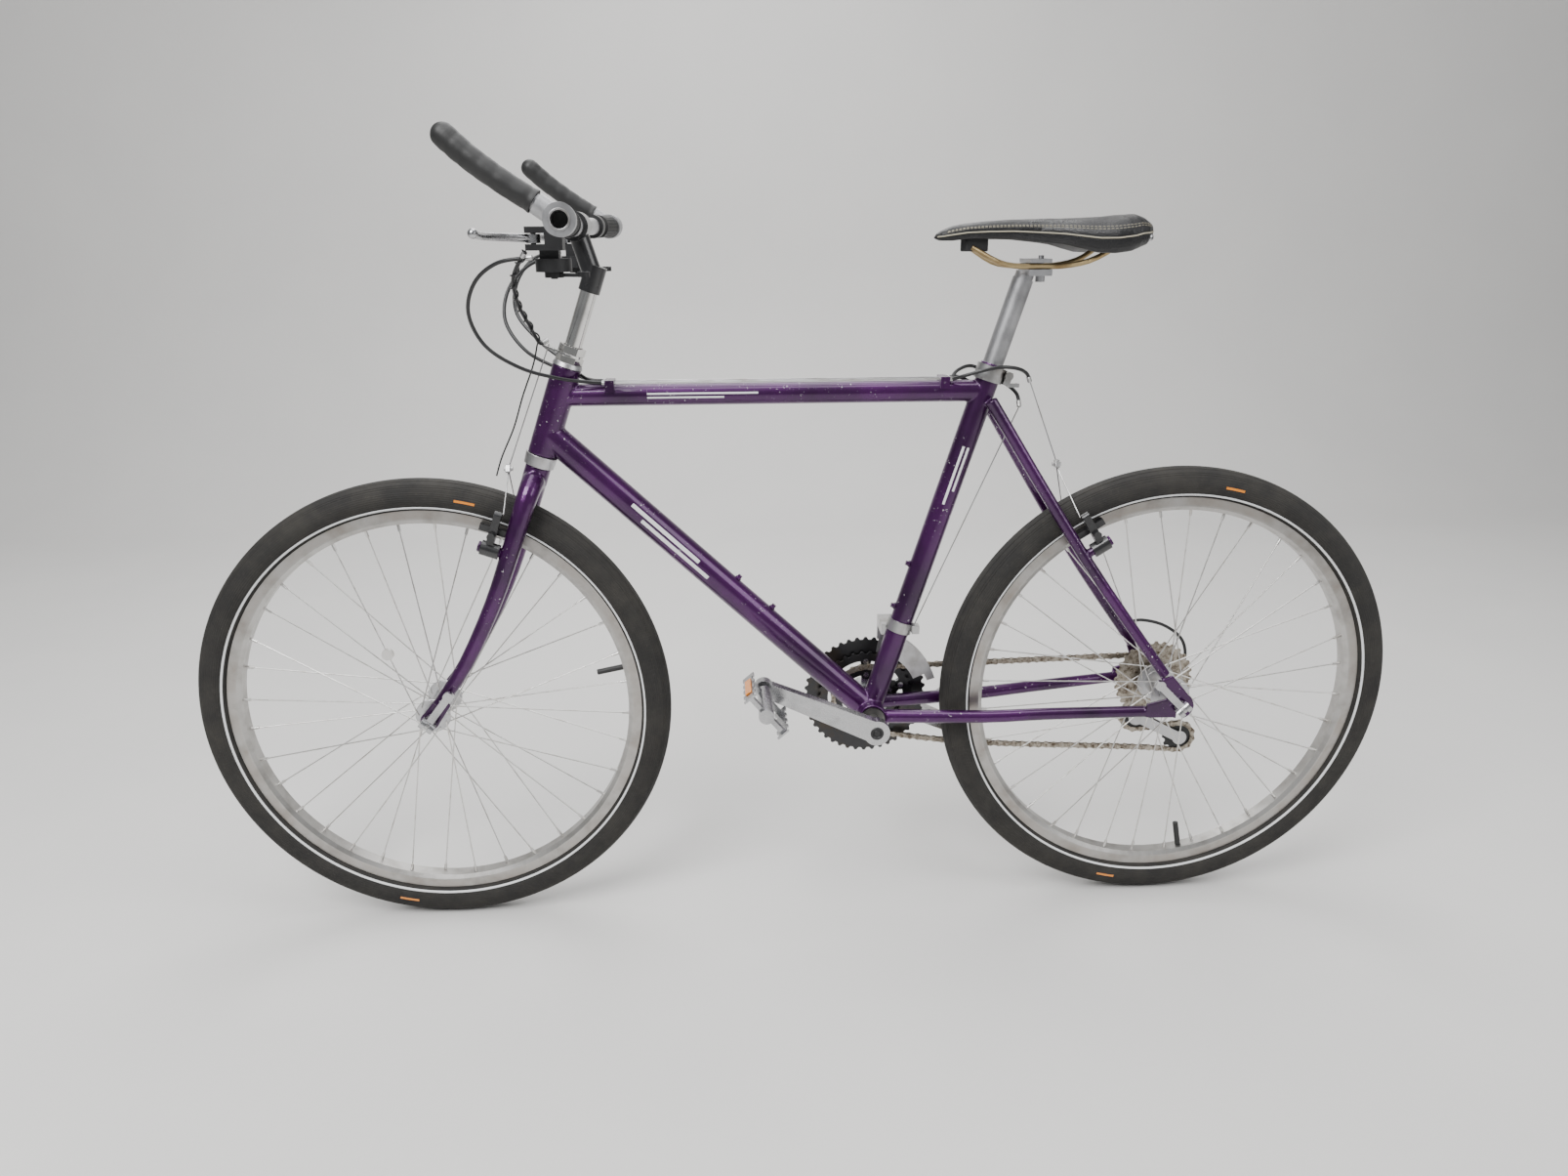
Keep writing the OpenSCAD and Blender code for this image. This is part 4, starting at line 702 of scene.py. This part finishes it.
def saddle_trim():
    """The piping round the edge, the stitched rows and the studs."""
    ring = []
    for k in range(220):
        t = k / 220
        u = t * 2 if t < 0.5 else 2 - t * 2
        ring.append(saddle_point(-434.5 + 270 * u, 0 if t < 0.5 else math.pi) * MM)
    bm = bmesh.new()
    add_tube(bm, ring, 0.0009, 10, closed=True)
    place(keep(bm, "saddle_piping", "piping"), "seat", "saddle_leather")
    stitch, gap = 3, 1.6
    bm = bmesh.new()
    for turn in (0.34, 0.46):
        for way in (turn, math.pi - turn):
            x = -425.0
            while x < -180:
                a = saddle_point(x, way)
                b = saddle_point(x + stitch, way)
                lift = Vector((0, math.copysign(0.15, math.cos(way)), 0.35))
                sunk = lift * 0.4
                add_tube(bm, [(a - sunk) * MM, (a + b) / 2 * MM + lift * MM, (b - sunk) * MM],
                         0.00038, 6)
                x += stitch + gap
    place(keep(bm, "saddle_stitches", "piping"), "seat", "saddle_leather")
    bm = bmesh.new()
    for s in (-1, 1):
        at = saddle_point(-425, -0.25 if s > 0 else math.pi + 0.25)
        out = Vector((-0.45, s, 0)).normalized()
        steps = [(-1.5, 4.2), (0.4, 4.2), (0.8, 3.8), (1.4, 2.6), (1.7, 0.4)]
        add_tube(bm, [(at + out * d) * MM for d, _ in steps], [r * MM for _, r in steps], 24)
    place(keep(bm, "saddle_studs", "polished_alloy"), "seat", "saddle_leather")


saddle()


def small_caps():
    """The rails' nose socket under the saddle and the dust caps of the cranks."""
    bm = bmesh.new()
    outline = [(-0.018, -0.011), (0.010, -0.009), (0.016, 0), (0.010, 0.009), (-0.018, 0.011)]
    add_prism(bm, outline, 0.018, Matrix.Translation(Vector((-213, 0, 946)) * MM))
    socket = bevelled(keep(bm, "saddle_nose_socket", "black_plastic"), 0.0015)
    place(socket, "seat", "saddle_leather")
    for side, way in SIDE.items():
        profile = [(0.0001, 0.0842), (0.0040, 0.0842), (0.0050, 0.0834), (0.0060, 0.0844),
                   (0.0085, 0.0842), (0.0092, 0.0836), (0.0092, 0.0822)]
        mirrored = [(r, way * y) for r, y in profile]
        cap = lathe("crank_cap_" + side, mirrored, DOWN_FOOT, "black_plastic", 40)
        place(cap, "crankset", "black_plastic")


small_caps()


# ---------------------------------------------------------------- grips and bar-end covers
def grip(side, way):
    """A rubber grip with a flange inboard and a lattice of small studs."""
    a, b = GRIP_ENDS[side]
    steps, sides = 150, 72
    path = [a + (b - a) * k / steps for k in range(steps + 1)]
    bm = bmesh.new()
    rings = []
    for k, (point, (_, m, n)) in enumerate(zip(path, frames(path))):
        t = k / steps
        flange = 0.0008 * smoothstep((0.045 - t) / 0.02) + 0.0003 * smoothstep((t - 0.96) / 0.02)
        ring = []
        for j in range(sides):
            w = 2 * math.pi * j / sides
            lattice = math.sin(9 * w + t * 62) * math.sin(9 * w - t * 62)
            ridge = 0.00055 * smoothstep((lattice - 0.1) / 0.35) * (0.07 < t < 0.93)
            worn = 0.00018 * bumpy((t * 6, math.cos(w), math.sin(w)), 1.6, way)
            r = 0.0145 + flange + ridge + worn
            ring.append(bm.verts.new(point + r * (math.cos(w) * m + math.sin(w) * n)))
        rings.append(ring)
    add_skin(bm, rings)
    add_caps(bm, rings)
    stands_for = ["grips"] if side == "left" else []
    place(keep(bm, "grip_" + side, "black_rubber", 50), "steering", "black_rubber", *stands_for)


def bar_end_cover(side, way):
    """A scuffed rubber sleeve with faint folds and a round tip."""
    route = smooth_path(mm((297.037, way * 270, 990.051), (329.803, way * 269, 1010.99),
                           (360.93, way * 267, 1033.79), (383, way * 264.5, 1053.4)), 12)
    path, radii = rounded_end(route, 0.0128, 8)
    for k in range(len(route)):
        t = k / len(route)
        fold = 0.0004 * abs(math.sin(t * 21)) ** 8
        radii[k] = 0.0122 + 0.0008 * t - fold + 0.0006 * smoothstep((0.05 - t) / 0.03)
    sides = 40
    bm = bmesh.new()
    rings = []
    for point, r, (_, m, n) in zip(path, radii, frames(path, first=Vector((0, 1, 0)))):
        ring = []
        for j in range(sides):
            w = 2 * math.pi * j / sides
            d = m * math.cos(w) + n * math.sin(w)
            scuff = 0.00025 * bumpy(point + d * r, 130, way) * min(1, r / 0.01)
            ring.append(bm.verts.new(point + d * (r + scuff)))
        rings.append(ring)
    add_skin(bm, rings)
    add_caps(bm, rings)
    place(keep(bm, "bar_end_cover_" + side, "black_rubber", 50), "steering", "black_rubber")


for side, way in SIDE.items():
    grip(side, way)
    bar_end_cover(side, way)


# ---------------------------------------------------------------- housings and wires
FERRULE = [(-0.0006, 0.0016), (-0.0004, 0.0030), (0.0005, 0.0031), (0.0075, 0.0031),
           (0.0079, 0.0026)]  # places along it and radii


def settle(obj, body, bend, stands_for=()):
    """Hides the CAD nodes that a cable piece stands for, then puts it on one body, or, when a bend
    is given, leaves it in the world on no body.
    """
    if stands_for:
        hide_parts(*stands_for)
    if bend:
        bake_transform(obj)
    else:
        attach(obj, body)


def housing(name, points, body, stands_for=(), bend=None):
    """A smooth cable housing with a metal ferrule at each end."""
    path = smooth_path(points, 10)
    bm = bmesh.new()
    add_tube(bm, path, 0.0024, 18)
    settle(keep(bm, name, "housing"), body, bend, stands_for)
    for at, ahead, word in ((path[0], path[2], "a"), (path[-1], path[-3], "b")):
        t = (ahead - at).normalized()
        bm = bmesh.new()
        add_tube(bm, [at + t * d for d, _ in FERRULE], [r for _, r in FERRULE], 20)
        settle(keep(bm, f"{name}_ferrule_{word}", "steel"), body, bend)


def wire(name, points, body, bend=None):
    """A thin wire in straight runs, each cut into twelve short lengths."""
    places = mm(*points)
    path = []
    for a, b in zip(places, places[1:]):
        path += [a + (b - a) * k / 12 for k in range(12)]
    bm = bmesh.new()
    add_tube(bm, path + [places[-1]], 0.0008, 10)
    settle(keep(bm, name, "steel"), body, bend)


LOOPS = {
    "left": ((330, 104, 934), (372, 96, 928), (404, 80, 905), (418, 62, 868), (404, 46, 828),
             (366, 34, 800), (322, 28, 786), (286, 16, 779), (268, 11, 777), (259, 11, 777)),
    "right": ((330, -104, 934), (366, -94, 922), (392, -74, 892), (396, -54, 852),
              (370, -38, 815), (330, -31, 793), (288, -17, 779), (268, -11, 777),
              (259, -11, 777)),
    "brake": ((330, -140, 938), (364, -126, 930), (386, -102, 898), (384, -76, 860),
              (354, -54, 826), (324, -38, 804), (290, -9, 781), (270, 0, 777), (259, 0, 777)),
}
for word, route in LOOPS.items():
    ends = mm(route[-1], route[0])
    housing("bar_housing_" + word, mm(*route), None, ("bar_cables",) if word == "left" else (),
            bend=("frame", "steering", *ends))

DROP = ((332, 140, 940), (352, 110, 912), (356, 70, 880), (350, 30, 850), (343, 8, 828))
housing("front_brake_housing", mm(*DROP, (334, 1, 831)), "steering", ("front_brake_cable",))
wire("front_brake_wire", ((332.6, 0, 826), (397, 0, 664)), "steering")
FRONT_YOKE, REAR_YOKE = mm((397, 0, 664), (-342, 0, 659))


def yoke(name, at, body):
    """The straddle wire's carrier: a small plate and its bolt."""
    bm = bmesh.new()
    outline = [(-7, -4), (7, -4), (8, -2), (3.5, 6), (-3.5, 6), (-8, -2)]
    add_prism(bm, [(x * MM, y * MM) for x, y in outline], 0.006, rotation((0, 1, 0), (1, 0, 0), at))
    add_tube(bm, [at + Vector((d, 0, 0)) for d in (-0.006, 0.006)], 0.0032, 6)
    place(bevelled(keep(bm, name, "steel"), 0.0005), body, "steel")


yoke("front_yoke", FRONT_YOKE, "steering")
yoke("rear_yoke", REAR_YOKE, "frame")
ANCHORS = {
    "front_brake_arm_left": (399.937, 43, 611.225),
    "front_brake_arm_right": (399.937, -43, 611.225),
    "rear_brake_arm_left": (-366.437, 43, 593.829),
    "rear_brake_arm_right": (-366.437, -43, 593.829),
}
for arm, anchor in ANCHORS.items():
    if arm.startswith("front"):
        parent, start = "steering", (397, 0, 662)
    else:
        parent, start = "frame", (-342, 0, 657)
    wire(arm + "_straddle", (start, anchor), None, (parent, arm, *mm(start, anchor)))

TAILS = {
    "rear_brake": ((-184, 11, 777), (-192, 11, 777), (-206, 20, 782), (-228, 27, 789),
                   (-252, 27, 793), (-276, 17, 790), (-292, 5, 782), (-298, 0, 771)),
    "rear_gear": ((-184, -11, 777), (-192, -11, 777), (-206, -20, 776), (-226, -29, 766),
                  (-240, -34, 746), (-250, -36, 724)),
    "front_gear": ((-184, 0, 777), (-192, 0, 777), (-202, -8, 786), (-222, -23, 790),
                   (-244, -29, 782), (-268, -25, 768), (-284, -12, 754), (-286, -1, 738)),
}
for word, route in TAILS.items():
    housing("tail_housing_" + word, mm(*route), "frame",
            ("frame_cables",) if word == "rear_brake" else ())
for k, y in enumerate((-11, 0, 11)):
    wire(f"top_tube_wire_{k}", ((257, y, 777), (-182, y, 777)), "frame")
wire("stay_wire", ((-250, -36, 724), (-492, -82, 398)), "frame")
wire("front_gear_wire", ((-286, -1, 738), (-151.6, 14, 438.3)), "frame")
wire("rear_brake_wire", ((-298, 0, 772), (-342, 0, 661)), "frame")
GEAR = ((-492, -82, 398), (-520, -92, 398), (-558, -98, 386), (-588, -100, 362), (-596, -100, 330),
        (-582, -99, 302), (-558, -98, 288))
housing("gear_loop", mm(*GEAR), None,
        bend=("frame", "rear_derailleur", *mm((-500, -86, 398), (-560, -98, 290))))


def computer_wire():
    """Thin flex wound round the front brake housing, then down to the crown."""
    wrap, lay = 0.023, 0.0036  # length of a turn, distance off the housing's centre
    spine = smooth_path(mm(*DROP), 40)
    path = []
    total = 0.0
    for k, (point, (_, m, n)) in enumerate(zip(spine, frames(spine))):
        if k:
            total += (point - spine[k - 1]).length
        w = 2 * math.pi * total / wrap
        path.append(point + lay * (math.cos(w) * m + math.sin(w) * n))
    down = smooth_path([path[-1]] + mm((353, 12, 800), (368, 17, 762), (382, 19, 722),
                                       (400, 21, 684), (408, 26, 660)), 10)
    bm = bmesh.new()
    add_tube(bm, path + down[1:], 0.00105, 10)
    place(keep(bm, "computer_wire", "housing"), "steering", "black_plastic")


computer_wire()


# ---------------------------------------------------------------- chain
PITCH = 0.0127


def pitch_r(teeth):
    return PITCH / 2 / math.sin(math.pi / teeth)


RING_Y, COG_Y = -0.0443, -0.0615
WHEELS = [(Vector((-0.092, 0.303)), pitch_r(24)), (Vector((-0.520, 0.327)), pitch_r(13)),
          (Vector((-0.511, 0.254)), -pitch_r(11)), (Vector((-0.581, 0.2175)), pitch_r(11))]


def run_angle(i):
    """Direction of the straight run that leaves wheel i."""
    (ca, ra), (cb, rb) = WHEELS[i % 4], WHEELS[(i + 1) % 4]
    v = cb - ca
    return math.atan2(v.y, v.x) + math.asin((ra - rb) / v.length)


def run_point(run, wheel):
    """Where a straight run touches a wheel."""
    c, r = WHEELS[wheel % 4]
    a = run_angle(run)
    return c + r * Vector((math.sin(a), -math.cos(a)))


def drift(t):
    """Share of a run's sideways shift, with a short straight piece at each end."""
    return max(0.0, min(1.0, (t - 0.07) / 0.86))


WRAPS = ("ring", "cog", "guide", "tension")


def chain_route():
    """Fine points of the chain's loop, each with the part of the loop that it lies in."""
    out = []
    for i, (c, r) in enumerate(WHEELS):
        a0, a1 = run_angle(i + 3), run_angle(i)
        turn = (a1 - a0) % (2 * math.pi) if r > 0 else -((a0 - a1) % (2 * math.pi))
        y = RING_Y if i == 0 else COG_Y
        n = max(int(abs(turn) * abs(r) / 0.0015), 4)
        for k in range(n):
            a = a0 + turn * k / n
            out.append((Vector((c.x + r * math.sin(a), y, c.y - r * math.cos(a))), WRAPS[i]))
        p, q = run_point(i, i), run_point(i, i + 1)
        n = int((q - p).length / 0.003)
        for k in range(n):
            t = k / n
            d = p + (q - p) * t
            y = RING_Y + (COG_Y - RING_Y) * drift(t) if i == 0 else COG_Y
            sag = 0.0
            if i == 3:
                y = COG_Y + (RING_Y - COG_Y) * drift(t)
                sag = 0.011 * 6.75 * t * t * (1 - t)
            word = ("upper", "drop", "cage", "lower_back" if t < 0.5 else "lower_front")[i]
            out.append((Vector((d.x, y, d.y - sag)), word))
    return out


def link_outline(length):
    """A side plate about two pins: round eyes and a narrow waist."""
    eye, waist = 0.0041, 0.0031
    near, far = [], []
    for k in range(9):
        w = math.pi / 2 + math.pi * k / 8
        near.append((eye * math.cos(w), eye * math.sin(w)))
        w = -math.pi / 2 + math.pi * k / 8
        far.append((length + eye * math.cos(w), eye * math.sin(w)))
    return (near + [(length * 0.35, -waist), (length * 0.65, -waist)]
            + far + [(length * 0.65, waist), (length * 0.35, waist)])


def chain():
    """Separate links on the whole loop, one piece for each part of it."""
    route = chain_route()
    points = [p for p, _ in route] + [route[0][0]]
    lengths = [0.0]
    for a, b in zip(points, points[1:]):
        lengths.append(lengths[-1] + (b - a).length)
    count = int(round(lengths[-1] / PITCH / 2)) * 2
    pins, words, k = [], [], 0
    for i in range(count):
        target = lengths[-1] * i / count
        while lengths[k + 1] < target:
            k += 1
        f = (target - lengths[k]) / (lengths[k + 1] - lengths[k])
        pins.append(points[k] + (points[k + 1] - points[k]) * f)
        words.append(route[k][1])
    built = {}
    across = Vector((0, 1, 0))
    for i in range(count):
        a, b = pins[i], pins[(i + 1) % count]
        bm = built.setdefault(words[i], bmesh.new())
        outline = link_outline((b - a).length)
        off = 0.0028 if i % 2 == 0 else 0.0018  # outer and inner plates
        for s in (-1, 1):
            add_prism(bm, outline, 0.0009, rotation(b - a, across, a + s * across * off))
        for half, radius, sides in ((0.0032, 0.0018, 12), (0.0014, 0.0038, 16)):  # pin, roller
            add_tube(bm, [a - across * half, a + across * half], radius, sides)
    halfway, ring_end = mm((-310, -53, 216), (-100, -45, 245))
    bends = {
        "drop": ("frame", "rear_derailleur", *mm((-537, -61.5, 307), (-497, -61.5, 271))),
        "lower_back": ("rear_derailleur_cage", "rear_derailleur", mm((-575, -61.5, 195))[0],
                       halfway),
        "lower_front": ("rear_derailleur", "frame", halfway, ring_end),
    }
    homes = {"ring": "frame", "upper": "frame", "cog": "frame", "guide": "rear_derailleur",
             "cage": "rear_derailleur_cage", "tension": "rear_derailleur_cage"}
    for n, (word, bm) in enumerate(sorted(built.items())):
        obj = keep(bm, "chain_" + word, "dirty_steel")
        if n == 0:
            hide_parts("chain")
        if word in bends:
            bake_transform(obj)
        else:
            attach(obj, homes[word])


chain()


# ---------------------------------------------------------------- trim
def stripe(name, a, b, radius, along, spread):
    """A plain film on a round tube, between two shares of its length and two angles."""
    level = Vector((0, 1, 0))
    third = (b - a).normalized().cross(level)
    bm = bmesh.new()
    rows = []
    for i in range(13):
        t = along[0] + (along[1] - along[0]) * i / 12
        row = []
        for k in range(9):
            w = math.radians(spread[0] + (spread[1] - spread[0]) * k / 8)
            off = radius * (math.cos(w) * level + math.sin(w) * third)
            row.append(bm.verts.new(a + (b - a) * t + off))
        rows.append(row)
    add_skin(bm, rows, around=False)
    place(keep(bm, name, "decal", 60), "frame", "purple_paint")


SEAT_FOOT, SEAT_TOP = mm((-92, 0, 303), (-247, 0, 795))
TOP_FRONT, TOP_REAR = mm((320, 0, 760), (-236, 0, 760))
# Tube, its ends and radius, bars of (start, end, lean in degrees), half their width in degrees.
STRIPES = [
    ("down_tube", DOWN_TOP, DOWN_FOOT, 0.01912, ((0.24, 0.44, -14), (0.28, 0.48, 12)), 8),
    ("top_tube", TOP_FRONT, TOP_REAR, 0.0144, ((0.2, 0.46, -10), (0.2, 0.38, 10)), 5),
    ("seat_tube", SEAT_FOOT, SEAT_TOP, 0.01602, ((0.62, 0.78, -12), (0.66, 0.78, 12)), 6),
]
for tube_name, top, foot, radius, bars, half in STRIPES:
    for word, base in (("left", 0), ("right", 180)):
        for k, (t0, t1, lean) in enumerate(bars):
            at = base + lean
            stripe(f"{tube_name}_stripe_{word}_{k}", top, foot, radius, (t0, t1),
                   (at - half, at + half))


PEDALS = {"pedal_left": (1, (63.3027, 91, 372.145)), "pedal_right": (-1, (-247.303, -91, 233.855))}


def pedal_reflectors():
    size = Matrix.Diagonal((0.0018, 0.044, 0.0098, 1))
    for body, (s, axle) in PEDALS.items():
        here = Matrix.Translation(Vector(axle) * MM) @ Matrix.Rotation(math.radians(-50), 4, "Y")
        bm = bmesh.new()
        for x in (-35.0, 35.0):
            shift = Matrix.Translation(Vector((x, s * 44, 0)) * MM)
            bmesh.ops.create_cube(bm, size=1, matrix=here @ shift @ size)
        place(bevelled(keep(bm, body + "_reflectors", "amber"), 0.0006), body, "satin_alloy")


pedal_reflectors()


# ---------------------------------------------------------------- camera, floor and light
CAMERA_AT = (0.1097, 1.4671, 0.951)
CAMERA_TURN = (-3.0644, 17.4185, -0.2966)  # yaw, pitch and roll, in degrees
LENS = 25.38  # millimetres, on a sensor 36 wide


def camera():
    """The photograph's camera, as solved on both wheels."""
    yaw, pitch, roll = (math.radians(a) for a in CAMERA_TURN)
    forward = Vector((math.sin(yaw) * math.cos(pitch), -math.cos(yaw) * math.cos(pitch),
                      -math.sin(pitch)))
    right = Vector((-math.cos(yaw), -math.sin(yaw), 0))
    up = right.cross(forward)
    x = math.cos(roll) * right + math.sin(roll) * up
    y = -math.sin(roll) * right + math.cos(roll) * up
    data = bpy.data.cameras.new("camera")
    data.sensor_width = 36
    data.lens = LENS
    data.clip_start = 0.05
    cam = bpy.data.objects.new("camera", data)
    turned = Matrix((x, y, -forward)).transposed().to_4x4()
    cam.matrix_world = Matrix.Translation(CAMERA_AT) @ turned
    bpy.context.scene.collection.objects.link(cam)
    bpy.context.scene.camera = cam


def studio():
    """A floor that curves up into a wall, four round area lights and a faint sky."""
    bm = bmesh.new()
    back, bend = -2.2, 0.9
    turns = [math.radians(a) for a in range(10, 91, 10)]
    profile = [(9.0, 0.0), (back, 0.0)]
    profile += [(back - bend * math.sin(a), bend - bend * math.cos(a)) for a in turns]
    profile += [(-3.1, 5.0)]
    rows = [[bm.verts.new((x, y, z)) for x in (-16.0, 16.0)] for y, z in profile]
    add_skin(bm, rows, around=False)
    floor = keep(bm, "studio_floor", "floor", 80)
    lights = [("key", (1.4, 2.0, 3.0), 2.0, 125), ("fill", (-2.6, 1.6, 2.2), 2.2, 45),
              ("back", (0.2, -2.0, 3.0), 2.4, 60), ("top", (0, 0.3, 3.6), 2.6, 70)]
    for name, at, size, power in lights:
        data = bpy.data.lights.new(name, "AREA")
        data.shape = "DISK"
        data.size = size
        data.energy = power
        lamp = bpy.data.objects.new(name, data)
        lamp.location = at
        aim = Vector((0, 0, 0.5)) - Vector(at)
        lamp.rotation_euler = aim.to_track_quat("-Z", "Y").to_euler()
        bpy.context.scene.collection.objects.link(lamp)
    world = bpy.data.worlds.new("studio")
    world.use_nodes = True
    sky = world.node_tree.nodes["Background"]
    sky.inputs["Color"].default_value = (0.86, 0.88, 0.9, 1)
    sky.inputs["Strength"].default_value = 0.3
    bpy.context.scene.world = world


floor_look = Shader("floor", (0.72, 0.71, 0.69), 0.0, 0.7)
floor_look.colour(floor_look.mix(floor_look.noise(3, 5), (0.74, 0.73, 0.71), (0.68, 0.67, 0.66)))
MAT["floor"] = floor_look.bump(floor_look.noise(60, 4), 0.0004).mat
camera()
studio()
